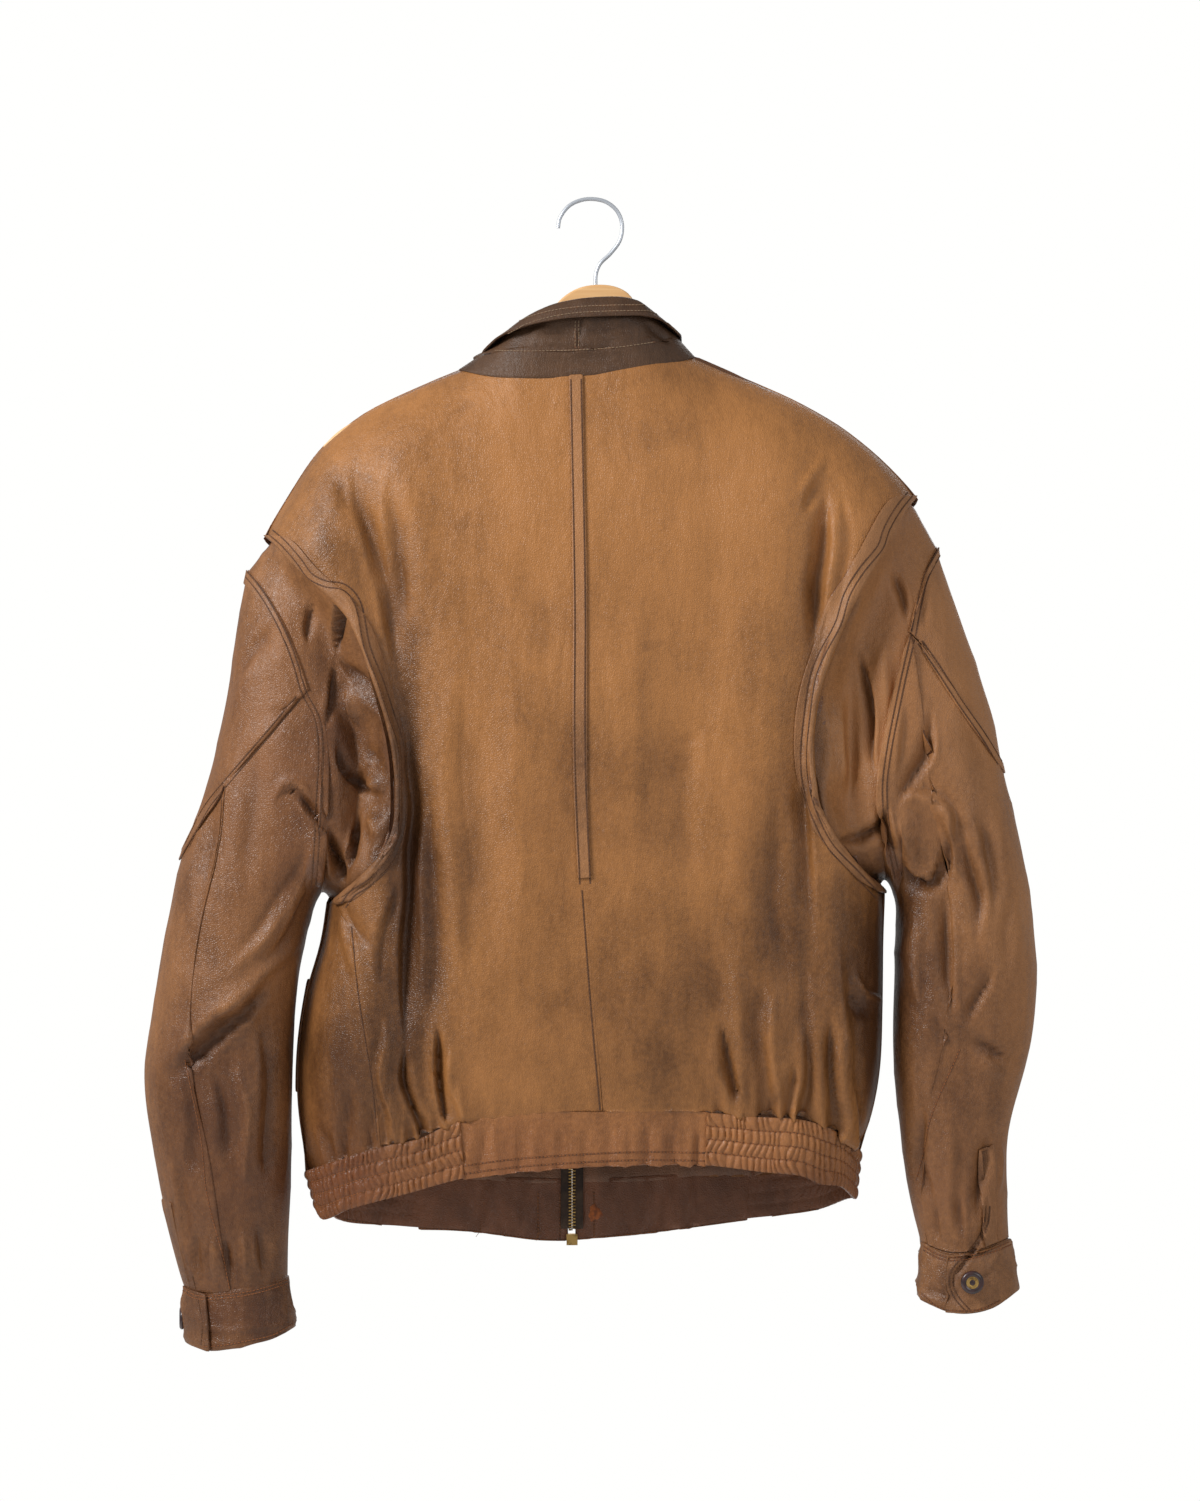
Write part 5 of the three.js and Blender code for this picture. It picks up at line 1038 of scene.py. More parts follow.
def gathered_band(name, sign, side_x, back_x, front_x):
    start, end = -along_from(back_x, side_x), along_from(front_x, side_x)
    count = round((end - start) / GATHER_PITCH)
    along, v = np.meshgrid(np.linspace(start, end, count * POINTS_PER_GATHER + 1),
                           np.linspace(0, 1, BAND_ROWS))
    places = band_place(sign, along, v)
    slope_u = np.gradient(places, axis=1)
    slope_v = np.gradient(places, axis=0)
    normal = np.cross(slope_u, slope_v)
    normal /= np.linalg.norm(normal, axis=2)[..., None]
    if normal[BAND_ROWS // 2, np.abs(along[0]).argmin(), 0] * -sign < 0:
        normal = -normal
    zone = np.clip(np.floor(v * 4), 0, 3)
    seed = np.stack([along / 24, zone * 0.6, v * 2.5], -1).reshape(-1, 3)
    wander = ripples(seed, 2.0, 0, along.shape)
    slow = ripples(seed, 0.4, 3, along.shape)
    phase = 2 * math.pi * (along / GATHER_PITCH + 0.75 * wander + 0.8 * slow)
    fold = np.abs(np.cos(phase / 2)) ** 0.9
    strength = 1 + 0.45 * ripples(seed, 2.6, 11, along.shape)
    bulge = np.abs(np.sin(math.pi * 4 * v)) ** 0.7
    raised = (0.45 + 0.55 * bulge) * fold * strength * 2.4 + 0.4 * bulge
    outer = places + normal * (OUTER_LIFT + raised[..., None] * GATHER_HEIGHT)
    inner = places - normal * (INNER_LIFT + INNER_PULL * (bulge * fold)[..., None])
    points = np.concatenate([outer.reshape(-1, 3), inner.reshape(-1, 3)])
    mesh = bpy.data.meshes.new(f"{name}_leather")
    mesh.from_pydata([tuple(p) for p in points], [], grid_faces(*along.shape))
    band = placed(mesh.name, mesh)
    bpy.ops.object.mode_set(mode="EDIT")
    bpy.ops.mesh.select_all(action="SELECT")
    bpy.ops.mesh.normals_make_consistent(inside=False)
    bpy.ops.object.mode_set(mode="OBJECT")
    x, y = to_grid(points)
    height = np.concatenate([raised.ravel(), np.zeros(raised.size)])
    # Painted shade in the gathers' hollows (valley); their tops feed rubbed wear and painted highlight
    # (proud).
    store(mesh, valley=np.clip(0.9 - height / 1.3, 0, 1) * 0.75, proud=np.clip((height - 1.9) / 1.6, 0, 1),
          inside=np.repeat([0.0, 1.0], raised.size), tone=tone_at(x, y, points, "band"),
          redness=redness_at(x, y, points))
    shade_smooth(60)
    mesh.materials.append(HIDE["band"])
    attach(band, "jacket")
    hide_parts(name)
    for row in STITCH_ROWS:
        k = round(row * (BAND_ROWS - 1))
        BAND_SEAMS.append((outer[k], normal[k]))


gathered_band("hem_elastic_left", 1, 307, 460, 410)
gathered_band("hem_elastic_right", -1, 859, 707, 752)

# %% [markdown]
# The hanger is a bow of pale varnished wood with a hump at the neck, and a hook of bright wire screwed
# into it. Only the hump and the hook show. The bow's outline is filled, pressed out to 12 mm and its
# edges rounded. The wire is a smooth curve with a round section.

# %% Hanger and hook
SHOULDER = {
    "left": [(461, 370), (392, 400), (347, 422), (326, 439), (303, 471), (278, 515), (265, 536)],
    "right": [(693.5, 357), (740, 377), (800, 404), (847, 430), (881, 459), (899, 478), (916, 497)],
}
HUMP = [(505, 364), (532, 344), (548, 316), (562, 299), (578, 289), (596, 285.5), (614, 287), (628, 294),
        (640, 312), (652, 336), (672, 354)]
BOW_HEIGHT = 30
HANGER_THICK = 0.012
WIRE_RADIUS = 0.0016


def hanger_outline():
    """The bow runs just below the shoulders' lines and up over the hump."""
    left = [smooth_line(SHOULDER["left"], 40)[k] + (1.2, 3.6) for k in (22, 18, 14, 10, 6)]
    right = [smooth_line(SHOULDER["right"], 40)[k] + (-1.2, 3.6) for k in (6, 10, 14, 18, 22)]
    top = smooth_line([*left, *HUMP, *right], 90)
    low = [(x, y + max(0.0, 372 - y) + BOW_HEIGHT * min(1.0, 0.5 + 0.08 * min(k, len(top) - 1 - k)))
           for k, (x, y) in enumerate(top)]
    return [*top, *reversed(low)]


def as_mesh(name, curve):
    """A curve's round wire, turned into a mesh."""
    placed(name, curve)
    bpy.ops.object.convert(target="MESH")
    return bpy.context.object


build = bmesh.new()
rim = [build.verts.new(from_grid(x, y, 0) + Vector((0, -HANGER_THICK / 2, 0))) for x, y in hanger_outline()]
face = build.faces.new(rim)
pressed = bmesh.ops.extrude_face_region(build, geom=[face])["geom"]
bmesh.ops.translate(build, verts=[v for v in pressed if isinstance(v, bmesh.types.BMVert)],
                    vec=(0, HANGER_THICK, 0))
bmesh.ops.recalc_face_normals(build, faces=build.faces)
bow = placed("hanger_bow", built_mesh("hanger_bow", build))
shape_by(bow, "BEVEL", width=0.0032, segments=4, limit_method="ANGLE", angle_limit=math.radians(50))
shade_smooth(40)

look = Finish("varnished_wood")
place = look.place()
grain = look.noise(look.stretched(place, (5, 40, 130)), 1.4, 6, 0.6, 0.7)
rings = look.add("ShaderNodeTexWave", {"wave_type": "BANDS", "bands_direction": "Z"}, look.stretched(
    place, (0.3, 1, 1)), Scale=70.0, Distortion=3.0, Detail=3.0)
wood_colour = look.blend(grain.between(0.3, 0.75), paint(240, 196, 140), paint(222, 168, 108))
wood_colour = look.blend(rings * 0.1, wood_colour, paint(196, 142, 92))
bow.data.materials.append(look.surface(Base_Color=wood_colour, Roughness=0.38 + grain * 0.12,
                                       Normal=look.bump(grain, 0.0002, 0.4)))
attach(bow, "jacket")
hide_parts("hanger_wood")

HOOK_LINE = [(558, 228), (560, 218), (569, 206), (580, 200.5), (592, 199), (606, 202), (617, 211),
             (622, 224), (620, 240), (611, 253), (600, 264), (596, 274), (595.5, 285)]
wire_data = bpy.data.curves.new("hook_wire", "CURVE")
wire_data.dimensions = "3D"
wire_data.bevel_depth = WIRE_RADIUS
wire_data.bevel_resolution = 5
wire_data.use_fill_caps = True
spline = wire_data.splines.new("POLY")
hook_points = smooth_line(HOOK_LINE, 110)
spline.points.add(len(hook_points) - 1)
for point, (x, y) in zip(spline.points, hook_points):
    point.co = (*from_grid(x, y, 0), 1)
hook = as_mesh("hook_wire", wire_data)
bpy.ops.object.shade_smooth()
look = Finish("bright_wire")
smudge = look.noise(look.place(), 90, 3)
hook.data.materials.append(look.surface(Base_Color=(*paint(206, 211, 218), 1), Metallic=0.6,
                                        Roughness=0.26 + smudge * 0.2))
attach(hook, "jacket")
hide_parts("hanger_hook")

# %% [markdown]
# Topstitching is real thread here. A row is a line in the grid, moved sideways by an offset. Rays from
# the camera, or straight from the front for rows on that side, find the leather under it, and small
# rounded stitches are laid there, nose to tail, over a narrow flat dark strip that is painted shade
# standing in for the groove the needle presses.

# %% Thread
depsgraph = bpy.context.evaluated_depsgraph_get()
TREES = {}
STITCH = {"pitch": 0.0029, "length": 0.0023, "radius": 0.00032, "wander": 0.0002}
GROOVE_HALF = 0.00062
GROOVE_LIFT = 0.00012
LANDING_STEP = 1.2
WIDEST_GAP = 0.0024


def tree_of(node):
    if node not in TREES:
        TREES[node] = BVHTree.FromObject(bpy.data.objects[f"{node}_leather"], depsgraph)
    return TREES[node]


def landing(x, y, on, side):
    """Where the leather of the named pieces lies at a grid place, and which way it faces."""
    if side == "back":
        start = EYE
        way = (from_grid(x, y, 0) - EYE).normalized()
    else:
        start = from_grid(x, y, 0) + Vector((0, 1, 0))
        way = Vector((0, -1, 0))
    best = None
    for node in on:
        place, normal, _, distance = tree_of(node).ray_cast(start, way)
        if place is not None and (best is None or distance < best[2]):
            if normal.dot(way) > 0:
                normal = -normal
            best = (place, normal, distance)
    return best and best[:2]


def beside(points, offset, count):
    """The line moved sideways: for a line that runs down, a positive offset is to the right."""
    line = smooth_line(points, count)
    step = np.gradient(line, axis=0)
    step /= np.linalg.norm(step, axis=1)[:, None]
    return line + offset * np.stack([step[:, 1], -step[:, 0]], axis=1)


def landed_row(points, offset, on, side):
    """A row's places on the leather, cut where it leaves the leather."""
    line = beside(points, offset, 40)
    length = np.hypot(*np.diff(line, axis=0).T).sum()
    line = beside(points, offset, max(8, round(length / LANDING_STEP)))
    runs, run = [], []
    for x, y in line:
        found = landing(x, y, on, side)
        if found and (not run or (found[0] - run[-1][0]).length < WIDEST_GAP):
            run.append(found)
        else:
            runs.append(run)
            run = [found] if found else []
    runs.append(run)
    return [run for run in runs if len(run) > 3]


class Threads:
    """Gathers stitches and strips of painted groove shade, and makes one mesh of each."""

    def __init__(self):
        self.stitches = []
        self.points = []
        self.faces = []

    def sew(self, run):
        places = np.array([place for place, _ in run])
        normals = np.array([normal for _, normal in run])
        reach = np.concatenate([[0], np.cumsum(np.linalg.norm(np.diff(places, axis=0), axis=1))])
        count = int(reach[-1] / STITCH["pitch"])
        for k in range(count):
            at = (k + 0.5) * STITCH["pitch"] + random.uniform(-STITCH["wander"], STITCH["wander"])
            ends = [np.array([np.interp(at + d, reach, column) for column in places.T])
                    for d in (-0.5 * STITCH["length"], 0.5 * STITCH["length"])]
            normal = np.array([np.interp(at, reach, column) for column in normals.T])
            self.stitches.append((*ends, normal / np.linalg.norm(normal)))
        tangent = np.gradient(places, axis=0)
        across = np.cross(normals, tangent)
        across /= np.maximum(1e-9, np.linalg.norm(across, axis=1))[:, None]
        # The flat dark strip under the stitches is painted shade for the groove.
        first = len(self.points)
        lift = normals * GROOVE_LIFT
        for place, sideways, up in zip(places, across, lift):
            self.points += [place + sideways * GROOVE_HALF + up, place - sideways * GROOVE_HALF + up]
        self.faces += [(first + 2 * k, first + 2 * k + 1, first + 2 * k + 3, first + 2 * k + 2)
                       for k in range(len(run) - 1)]

    def thread_mesh(self):
        """Four-sided stitches with rounded ends, all in one mesh."""
        sides, rings = 4, ((0.0, 0.35), (0.16, 1.0), (0.84, 1.0), (1.0, 0.35))
        points, faces = [], []
        for start, end, normal in self.stitches:
            first = len(points)
            along = end - start
            sideways = np.cross(normal, along / np.linalg.norm(along))
            for share, size in rings:
                middle = start + along * share + normal * (0.0001 + 0.00016 * size)
                for k in range(sides):
                    turn = 2 * math.pi * k / sides
                    points.append(middle + STITCH["radius"] * size * (
                        math.cos(turn) * sideways + math.sin(turn) * normal))
            for ring in range(3):
                a = first + ring * sides
                faces += [(a + k, a + (k + 1) % sides, a + sides + (k + 1) % sides, a + sides + k)
                          for k in range(sides)]
            faces += [tuple(first + k for k in reversed(range(sides))),
                      tuple(first + 3 * sides + k for k in range(sides))]
        return points, faces


def mesh_object(name, points, faces, finish):
    mesh = bpy.data.meshes.new(name)
    mesh.from_pydata([tuple(p) for p in points], [], faces)
    mesh.polygons.foreach_set("use_smooth", [True] * len(mesh.polygons))
    mesh.materials.append(finish)
    made = placed(name, mesh)
    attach(made, "jacket")
    return made


def thread_finish(name, colour):
    look = Finish(name)
    place = look.place()
    twist = look.noise(place, 900, 2)
    old = look.noise(place, 30, 4)
    shade = look.blend(old.between(0.35, 0.7) * 0.5, colour, tuple(c * 0.5 for c in colour))
    return look.surface(Base_Color=look.blend(twist * 0.4, shade, tuple(c * 0.6 for c in colour)),
                        Roughness=0.7 + twist * 0.2, Normal=look.bump(twist, 0.0001, 0.6))


# Painted shade: a flat dark brown strip stands for the shadow in a stitch groove.
def groove_shade_finish():
    look = Finish("groove_shade_paint")
    worn = look.noise(look.place(), 120, 4)
    return look.surface(Base_Color=look.blend(worn.between(0.3, 0.75), paint(70, 43, 26), paint(114, 74, 46)),
                        Roughness=0.6 + worn * 0.2, Normal=look.bump(worn, 0.0002, 0.5))


BODY = ("back_left", "back_right", "side_left", "front_left", "front_right")
ARM = {hand: tuple(f"{piece}_{hand}" for piece in (
    "sleeve_cap", "sleeve_upper", "sleeve_under", "sleeve_gusset", "ridge_strip", "diagonal_strip", "placket",
    "cuff", "cuff_tab", "armhole_strip")) for hand in ("left", "right")}
COLLAR = ("collar_stand", "collar_under", "collar_leaf")
HEM = ("hem_back", "hem_front_left", "hem_front_right", "hem_elastic_left", "hem_elastic_right")
CENTRE_STRIP = [(576, 379), (580, 600), (580, 760), (585, 884)]
CENTRE_SEAM = [(585, 890), (594, 1010), (603, 1110)]
RIDGE = {
    "left": [(247, 568), (262, 586), (276, 608), (290, 636), (300, 663), (308, 690), (322, 719), (325, 760),
             (323, 800), (321, 845), (318, 890)],
    "right": [(938, 545), (933, 554), (922, 575), (915, 602), (909, 632), (899, 676), (892, 710), (885, 746),
              (880, 786), (883, 830), (893, 880)],
}
DIAGONAL = {"left": [(298, 698), (268, 734), (230, 778), (206, 808), (187, 846)],
            "right": [(920, 642), (938, 668), (960, 702), (985, 738), (1000, 763)]}
FOREARM = {"left": [(187, 1059), (203, 1139), (209, 1194), (224, 1252), (232, 1290)],
           "right": [(958, 1048), (928, 1119), (923, 1145), (914, 1180)]}
CUFF_SEAM = {"left": [(185, 1284), (197, 1292), (230, 1291), (262, 1285), (288, 1276)],
             "right": [(1010, 1238), (990, 1246), (965, 1253), (944, 1253), (921, 1241)]}
CUFF_EDGE = {"left": [(203, 1351), (225, 1349), (252, 1344), (274, 1339), (295, 1327)],
             "right": [(1002, 1304), (982, 1313), (961, 1315), (939, 1312), (919, 1297)]}
FRONT_ARMHOLE = {"left": [(284, 560), (306, 600), (326, 650), (344, 710), (354, 770), (353, 830), (343, 880)],
                 "right": [(900, 520), (880, 560), (862, 620), (848, 690), (842, 760), (848, 830),
                           (864, 872)]}
LEAF_EDGE = [(508, 337), (528, 327), (551, 320), (577, 316), (604, 314.5), (634, 314), (651, 315), (663, 323),
             (676, 336)]
TAB_CURVE = [(990, 1206), (988, 1224), (978, 1245), (965, 1260), (954, 1274), (953, 1284), (958, 1296),
             (971, 1311)]
BROWN_ROWS = [
    (TAB_CURVE, (0.0, -4.0), ARM["right"], "back"),
    ([(192.5, 1276), (198, 1300), (202, 1325), (201, 1345)], (0.0,), ARM["left"], "back"),
    (CENTRE_STRIP, (-5.2, 5.2), ("back_strip", "back_left", "back_right"), "back"),
    (CENTRE_SEAM, (-3.0,), BODY, "back"),
    (ARMHOLE["left"], (3.4, 9.4), (*BODY, *ARM["left"]), "back"),
    (ARMHOLE["right"], (-3.4, -9.4), (*BODY, *ARM["right"]), "back"),
    (RIDGE["left"], (-2.4, -7.0), ARM["left"], "back"),
    (RIDGE["right"], (2.4, 7.0), ARM["right"], "back"),
    (DIAGONAL["left"], (-2.6, 2.6), ARM["left"], "back"),
    (DIAGONAL["right"], (-2.6, 2.6), ARM["right"], "back"),
    ([(354, 926), (361, 995), (368, 1041), (375, 1087), (380, 1140)], (-2.6,), BODY, "back"),
    (FRONT_ARMHOLE["left"], (4.0, 9.0), BODY, "front"),
    (FRONT_ARMHOLE["right"], (-4.0, -9.0), BODY, "front"),
    ([(556, 470), (556, 800), (556, 1180)], (0.0, -4.0), BODY, "front"),
    ([(587, 470), (587, 800), (587, 1180)], (0.0, 4.0), BODY, "front"),
]
ORANGE_ROWS = [
    (FOREARM["left"], (-2.2,), ARM["left"], "back"),
    (FOREARM["right"], (2.2,), ARM["right"], "back"),
    (CUFF_SEAM["left"], (-3.4, -6.6), ARM["left"], "back"),
    (CUFF_SEAM["right"], (3.4, 6.6), ARM["right"], "back"),
    (CUFF_EDGE["left"], (4.0,), ARM["left"], "back"),
    (CUFF_EDGE["right"], (-4.0,), ARM["right"], "back"),
    ([(464, 1178), (508, 1172), (556, 1168), (643, 1164), (705, 1165)], (4.0, 12.0), ("hem_back",), "back"),
    ([(340, 1228), (400, 1236), (469, 1240), (549, 1249), (602, 1246), (653, 1241), (744, 1229), (820, 1218)],
     (9.0,), HEM, "back"),
    ([(400, 1236), (469, 1240), (549, 1249)], (5.0,), HEM, "front"),
    ([(600, 1246), (653, 1241), (744, 1229)], (5.0,), HEM, "front"),
    ([(538, 1192), (538, 1242)], (0.0, 22.0), HEM, "back"),
    ([(594, 1192), (594, 1242)], (0.0,), HEM, "back"),
]
LIGHT_ROWS = [
    ([(577, 320), (577, 348)], (-1.8, 1.8), COLLAR, "back"),
    ([(495, 350.5), (530, 351), (577, 350), (620, 347), (655, 342)], (0.0,), COLLAR, "back"),
    (LEAF_EDGE, (3.2, 9.0), COLLAR, "back"),
]


def sewn(name, rows, colour, also=()):
    threads = Threads()
    for points, offsets, on, side in rows:
        for offset in offsets:
            for run in landed_row(points, offset, on, side):
                threads.sew(run)
    for places, normals in also:
        threads.sew([(Vector(place), Vector(normal)) for place, normal in zip(places, normals)])
    mesh_object(f"{name}_stitches", *threads.thread_mesh(), thread_finish(f"{name}_thread", colour))
    mesh_object(f"{name}_painted_groove_shade", threads.points, threads.faces, GROOVE_SHADE)


GROOVE_SHADE = groove_shade_finish()
sewn("brown", BROWN_ROWS, paint(112, 74, 44))
sewn("orange", ORANGE_ROWS, paint(160, 96, 48), BAND_SEAMS)
sewn("light", LIGHT_ROWS, paint(158, 134, 106))

# %% [markdown]
# Each cuff closes with a domed button of dark horn with a brass ring let into its face. A profile of
# the dome is turned round its axis, once for the horn and once for the ring, and then turned to face
# the way its cuff faces.

# %% Buttons
def turned(name, profile, finish, steps=48):
    """A profile of radius and height in millimetres, turned round the z axis."""
    build = bmesh.new()
    line = [build.verts.new((r * MILLIMETRE, 0, h * MILLIMETRE)) for r, h in profile]
    edges = [build.edges.new(pair) for pair in zip(line, line[1:])]
    bmesh.ops.spin(build, geom=line + edges, cent=(0, 0, 0), axis=(0, 0, 1), angle=2 * math.pi, steps=steps,
                   use_duplicate=False)
    bmesh.ops.remove_doubles(build, verts=build.verts, dist=1e-6)
    bmesh.ops.recalc_face_normals(build, faces=build.faces)
    made = placed(name, built_mesh(name, build))
    shade_smooth(35)
    made.data.materials.append(finish)
    return made


look = Finish("button_horn")
cloudy = look.noise(look.place(), 160, 5, 0.6)
HORN = look.surface(Base_Color=look.blend(cloudy.between(0.3, 0.7), paint(66, 38, 38), paint(36, 22, 24)),
                    Roughness=0.24 + cloudy * 0.2, Coat_Weight=0.4,
                    Normal=look.bump(cloudy, 0.00008, 0.5))
look = Finish("old_brass")
tarnish = look.noise(look.place(), 140, 6, 0.65)
brassy = look.blend(tarnish.between(0.38, 0.66), paint(196, 160, 96), paint(112, 84, 48))
BRASS = look.surface(Base_Color=brassy,
                     Metallic=0.92, Roughness=0.3 + tarnish * 0.3, Normal=look.bump(tarnish, 0.0001, 0.5))
DOME = [(0.0, 2.2), (0.9, 2.16), (1.7, 1.95), (2.3, 1.75), (4.9, 1.95), (5.6, 2.5), (6.4, 2.75), (7.4, 2.65),
        (8.4, 2.15), (9.0, 1.45), (9.2, 0.6), (9.0, 0.0), (8.4, -0.5), (5.0, -0.9), (0.0, -0.9)]
RING = [(2.2, 1.6), (2.35, 2.15), (2.8, 2.35), (3.6, 2.2), (4.3, 2.35), (4.85, 2.15), (5.0, 1.6)]
STANDS_OUT = {"right": 0.001, "left": -0.005}
for hand, facing in (("right", (0, -1, 0)), ("left", (-1, -0.12, 0))):
    low, high = (Vector(corner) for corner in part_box(f"cuff_button_{hand}"))
    middle = (low + high) / 2
    turn = Vector(facing).to_track_quat("Z", "Y").to_matrix().to_4x4()
    turn.translation = middle + Vector(facing).normalized() * STANDS_OUT[hand]
    for part, profile, finish in (("dome", DOME, HORN), ("ring", RING, BRASS)):
        piece = turned(f"button_{part}_{hand}", profile, finish)
        piece.data.transform(turn)
        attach(piece, "jacket")
        if part == "dome":
            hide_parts(f"cuff_button_{hand}")

# %% [markdown]
# The zip runs down the front edges. Each half is a woven tape with a row of brass teeth, and the teeth
# of one side stand in the gaps of the other. The tape follows the places of its CAD solid.

# %% Zip
TOOTH_PITCH = 0.0026
TAPE_WIDTH = 0.0085
TAPE_HALF_THICK = 0.0004
TAPE_STEP = 0.004
TOOTH_TIP, TOOTH_FOOT = (0.0018, 0.0009), (0.0024, 0.0014)
TEETH_START = 0.002
look = Finish("woven_tape")
place = look.place()
weave = look.add("ShaderNodeTexWave", {"wave_type": "BANDS", "bands_direction": "Z"}, place, Scale=900.0)
ribs = look.add("ShaderNodeTexWave", {"wave_type": "BANDS", "bands_direction": "X"}, place, Scale=700.0)
dust = look.noise(place, 60, 5)
TAPE = look.surface(Base_Color=look.blend(dust.between(0.35, 0.75), paint(52, 38, 30), paint(84, 64, 48)),
                    Roughness=0.85 - dust * 0.1, Normal=look.bump(weave + ribs, 0.0002, 0.7))


def zip_half(node, side):
    """Tape and teeth down the places of one CAD half. side is -1 for the left half and 1 for the right."""
    points, _ = read_mesh(nodes[node].data)
    rows = np.unique(points[:, 2].round(4))
    depth = np.array([points[np.abs(points[:, 2] - z) < 0.0006, 1].mean() for z in rows])
    teeth_x = points[:, 0].min() if side > 0 else points[:, 0].max()
    heights = np.arange(rows.max() - 0.001, rows.min() + 0.001, -TAPE_STEP)
    tape_points, tape_faces = [], []
    for z in heights:
        y = float(np.interp(z, rows, depth))
        for share in np.linspace(0, 1, 5):
            for lift in (TAPE_HALF_THICK, -TAPE_HALF_THICK):
                tape_points.append((teeth_x + side * (0.0004 + TAPE_WIDTH * share), y + lift, z))
    for i in range(len(heights) - 1):
        for j in range(4):
            a, b = i * 10 + j * 2, (i + 1) * 10 + j * 2
            tape_faces += [(a, a + 2, b + 2, b), (a + 1, b + 1, b + 3, a + 3)]
        a, b = i * 10, (i + 1) * 10
        tape_faces += [(a, b, b + 1, a + 1), (a + 8, a + 9, b + 9, b + 8)]
    last = (len(heights) - 1) * 10
    for j in range(4):
        a, b = j * 2, last + j * 2
        tape_faces += [(a, a + 1, a + 3, a + 2), (b, b + 2, b + 3, b + 1)]
    tape = mesh_object(f"{node}_tape", tape_points, tape_faces, TAPE)
    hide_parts(node)
    build = bmesh.new()
    k = 0 if side > 0 else 0.5
    while rows.max() - TEETH_START - k * TOOTH_PITCH > rows.min() + TEETH_START:
        z = rows.max() - TEETH_START - k * TOOTH_PITCH
        y = float(np.interp(z, rows, depth))
        made = bmesh.ops.create_cube(build, size=1)["verts"]
        for vertex in made:
            out, across, down = vertex.co
            deep, tall = TOOTH_TIP if out * side < 0 else TOOTH_FOOT
            vertex.co = Vector((teeth_x + side * (0.0010 + out * side * 0.0034), y + across * deep,
                                z + down * tall))
        k += 1
    teeth = placed(f"{node}_teeth", built_mesh(f"{node}_teeth", build))
    shape_by(teeth, "BEVEL", width=0.0002, segments=1)
    shade_smooth(50)
    teeth.data.materials.append(BRASS)
    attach(teeth, "jacket")


zip_half("zip_left", -1)
zip_half("zip_right", 1)
for node in ("zip_slider", "zip_lug", "zip_pull_tab", "zip_box"):
    nodes[node].data.materials.clear()
    nodes[node].data.materials.append(BRASS)

# %% [markdown]
# Last come the small signs of wear: a rust coloured scuffed patch inside the front hem beside the zip,
# and a few loose thread ends.

# %% Small wear
def patch_on(name, middle, radii, on, finish):
    """A thin irregular scab of worn leather, laid on what is under it."""
    points, faces = [], []
    rings, spokes = 5, 28
    for ring in range(rings + 1):
        for k in range(spokes):
            turn = 2 * math.pi * k / spokes
            size = ring / rings * (1 + 0.18 * math.sin(3 * turn + 1) + 0.1 * math.sin(7 * turn))
            found = landing(middle[0] + radii[0] * size * math.cos(turn),
                            middle[1] + radii[1] * size * math.sin(turn), on, "back")
            if not found:
                return
            lift = 0.0006 * (1 - (ring / rings) ** 3) + 0.0001
            points.append(found[0] + found[1] * lift)
    for ring in range(rings):
        a, b = ring * spokes, (ring + 1) * spokes
        faces += [(a + k, a + (k + 1) % spokes, b + (k + 1) % spokes, b + k) for k in range(spokes)]
    mesh_object(name, points, faces, finish)


look = Finish("rust_scuff")
rough = look.noise(look.place(), 300, 5)
RUST = look.surface(Base_Color=look.blend(rough.between(0.35, 0.7), paint(170, 92, 40), paint(110, 58, 28)),
                    Roughness=0.8 - rough * 0.1, Normal=look.bump(rough, 0.0005, 0.7))
patch_on("scuffed_patch", (595, 1213), (6.5, 8), ("hem_front_right", "hem_front_left"), RUST)

loose_data = bpy.data.curves.new("loose_threads", "CURVE")
loose_data.dimensions = "3D"
loose_data.bevel_depth = 0.0002
loose_data.bevel_resolution = 1
for (x, y), steps in (((480, 1226), ((1, 4), (-3, 4), (-2, 3))), ((541, 1232), ((-3, 3), (-3, 2), (1, 4))),
                      ((188, 1290), ((-3, 4), (-3, 1), (0, 4)))):
    found = landing(x, y, (*HEM, *ARM["left"]), "back")
    if not found:
        continue
    strand = loose_data.splines.new("NURBS")
    strand.points.add(len(steps))
    place = found[0] + found[1] * 0.0004
    strand.points[0].co = (*place, 1)
    for k, (dx, dy) in enumerate(steps):
        place = place + Vector((dx * PIXEL, -0.0002, -dy * PIXEL))
        strand.points[k + 1].co = (*place, 1)
    strand.use_endpoint_u = True
    strand.order_u = 3
loose = as_mesh("loose_threads", loose_data)
loose.data.materials.append(thread_finish("loose_thread", paint(150, 100, 60)))
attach(loose, "jacket")

# %% [markdown]
# Every leather piece is a sheet that was cut flat. Its cut is given here by width and length in metres,
# as a maker would lay it on the hide. Each kind of cut fills a share of that rectangle: nearly all for a
# strip, and less for a panel cut away at the neck and armhole.

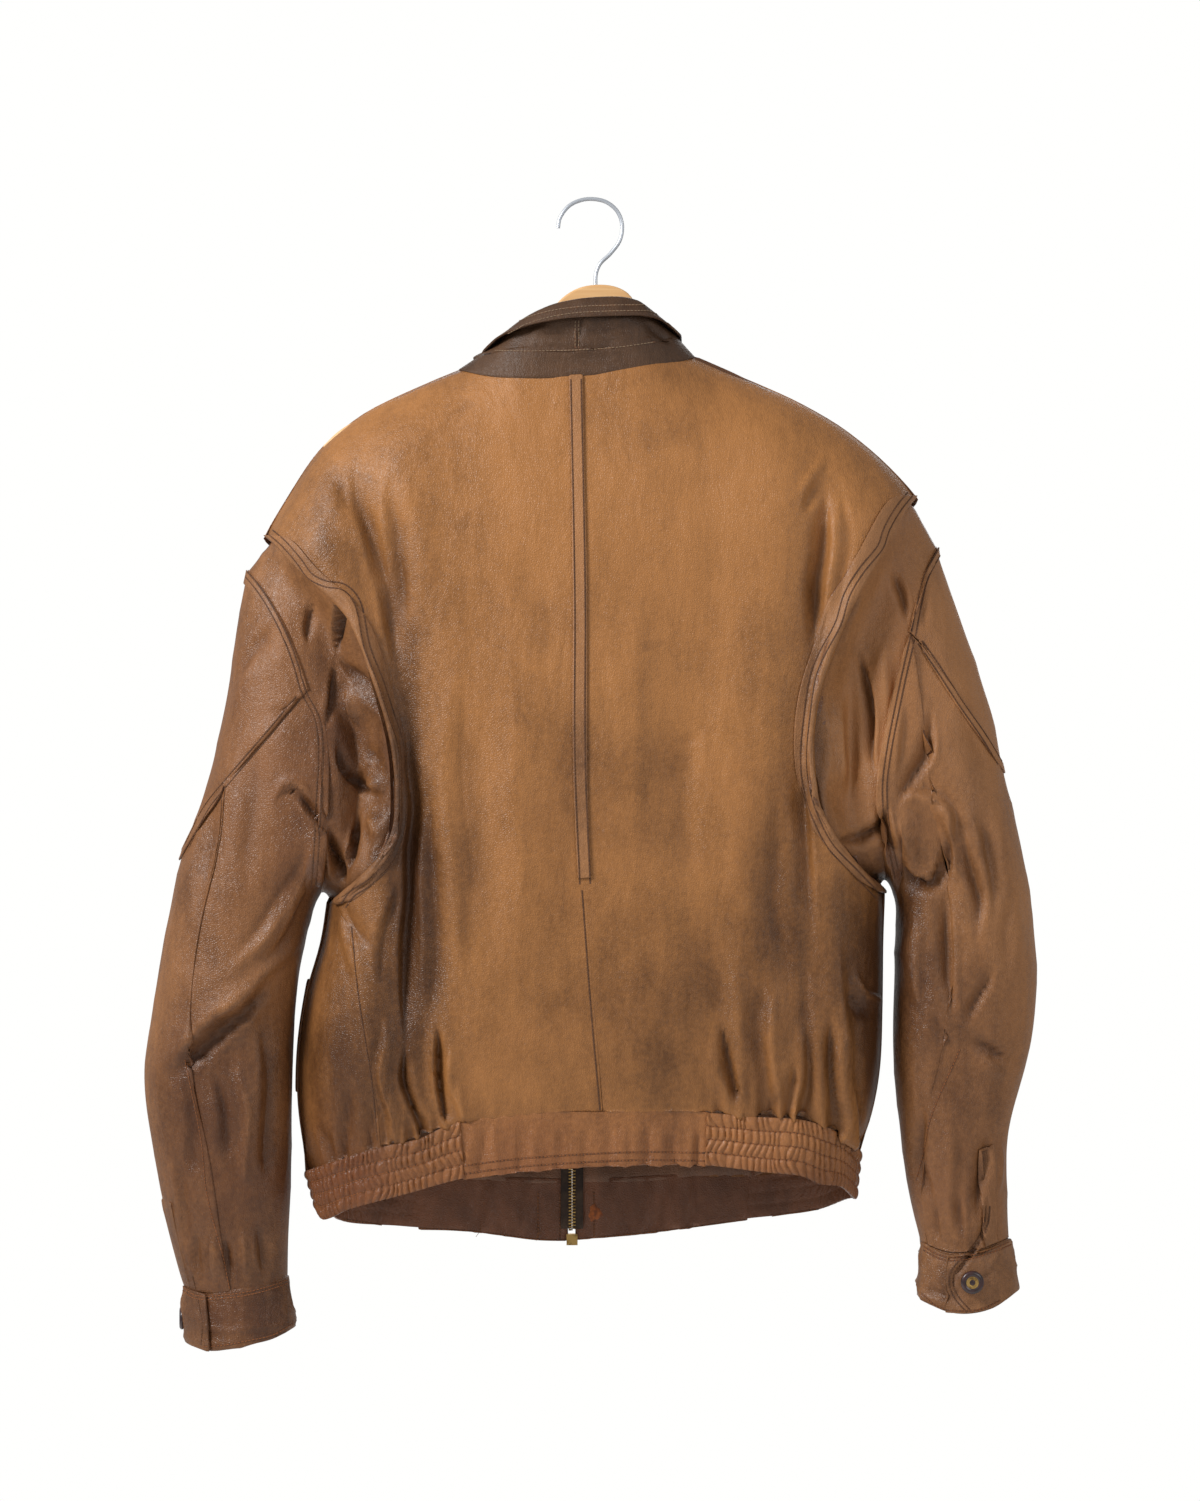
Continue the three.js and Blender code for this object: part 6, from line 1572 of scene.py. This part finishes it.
# %% Cuts by name
PANEL_CUTS = {"back_left": (0.3, 0.65), "back_right": (0.31, 0.66), "front_left": (0.33, 0.66),
              "front_right": (0.34, 0.66)}
SIDE_CUTS = {"side_left": (0.1, 0.24)}
STRIP_CUTS = {"back_strip": (0.0105, 0.51), "armhole_strip_left": (0.016, 0.47),
              "armhole_strip_right": (0.017, 0.52),
              "diagonal_strip_left": (0.0105, 0.24), "diagonal_strip_right": (0.0105, 0.24),
              "pocket_welt_left": (0.022, 0.12), "pocket_welt_right": (0.022, 0.14),
              "placket_left": (0.016, 0.11), "placket_right": (0.016, 0.11),
              "hem_elastic_left": (0.045, 0.38), "hem_elastic_right": (0.045, 0.38)}
SLEEVE_CUTS = {"sleeve_gusset_left": (0.19, 0.3), "sleeve_gusset_right": (0.18, 0.34),
               "sleeve_cap_left": (0.15, 0.24), "sleeve_cap_right": (0.12, 0.19),
               "sleeve_upper_left": (0.2, 0.42), "sleeve_upper_right": (0.24, 0.45),
               "sleeve_under_left": (0.21, 0.47), "sleeve_under_right": (0.17, 0.42)}
RIDGE_CUTS = {"ridge_strip_left": (0.0105, 0.28), "ridge_strip_right": (0.0105, 0.2)}
CUFF_CUTS = {"cuff_left": (0.055, 0.23), "cuff_right": (0.055, 0.23), "cuff_tab_left": (0.055, 0.1),
             "cuff_tab_right": (0.055, 0.13)}
COLLAR_CUTS = {"collar_stand": (0.03, 0.42), "collar_under": (0.03, 0.42), "collar_leaf": (0.04, 0.44)}
HEM_CUTS = {"hem_back": (0.045, 0.205), "hem_front_left": (0.045, 0.135), "hem_front_right": (0.045, 0.15)}
FILLS = ((PANEL_CUTS, 0.65), (SIDE_CUTS, 0.8), (STRIP_CUTS, 0.9), (SLEEVE_CUTS, 0.75), (RIDGE_CUTS, 0.6),
         (CUFF_CUTS, 0.85), (COLLAR_CUTS, 0.7), (HEM_CUTS, 0.95))
CUTS = {node: (*flat, share) for kind, share in FILLS for node, flat in kind.items()}
ON_HANGER = ("back_left", "back_right", "front_left", "front_right", "collar_stand")
for node, (width, length, share) in CUTS.items():
    piece = bpy.data.objects[f"{node}_leather"]
    "gathered" if "elastic" in node else "hung"
    share * width * length
    ["hanger_bow"] if node in ON_HANGER else []
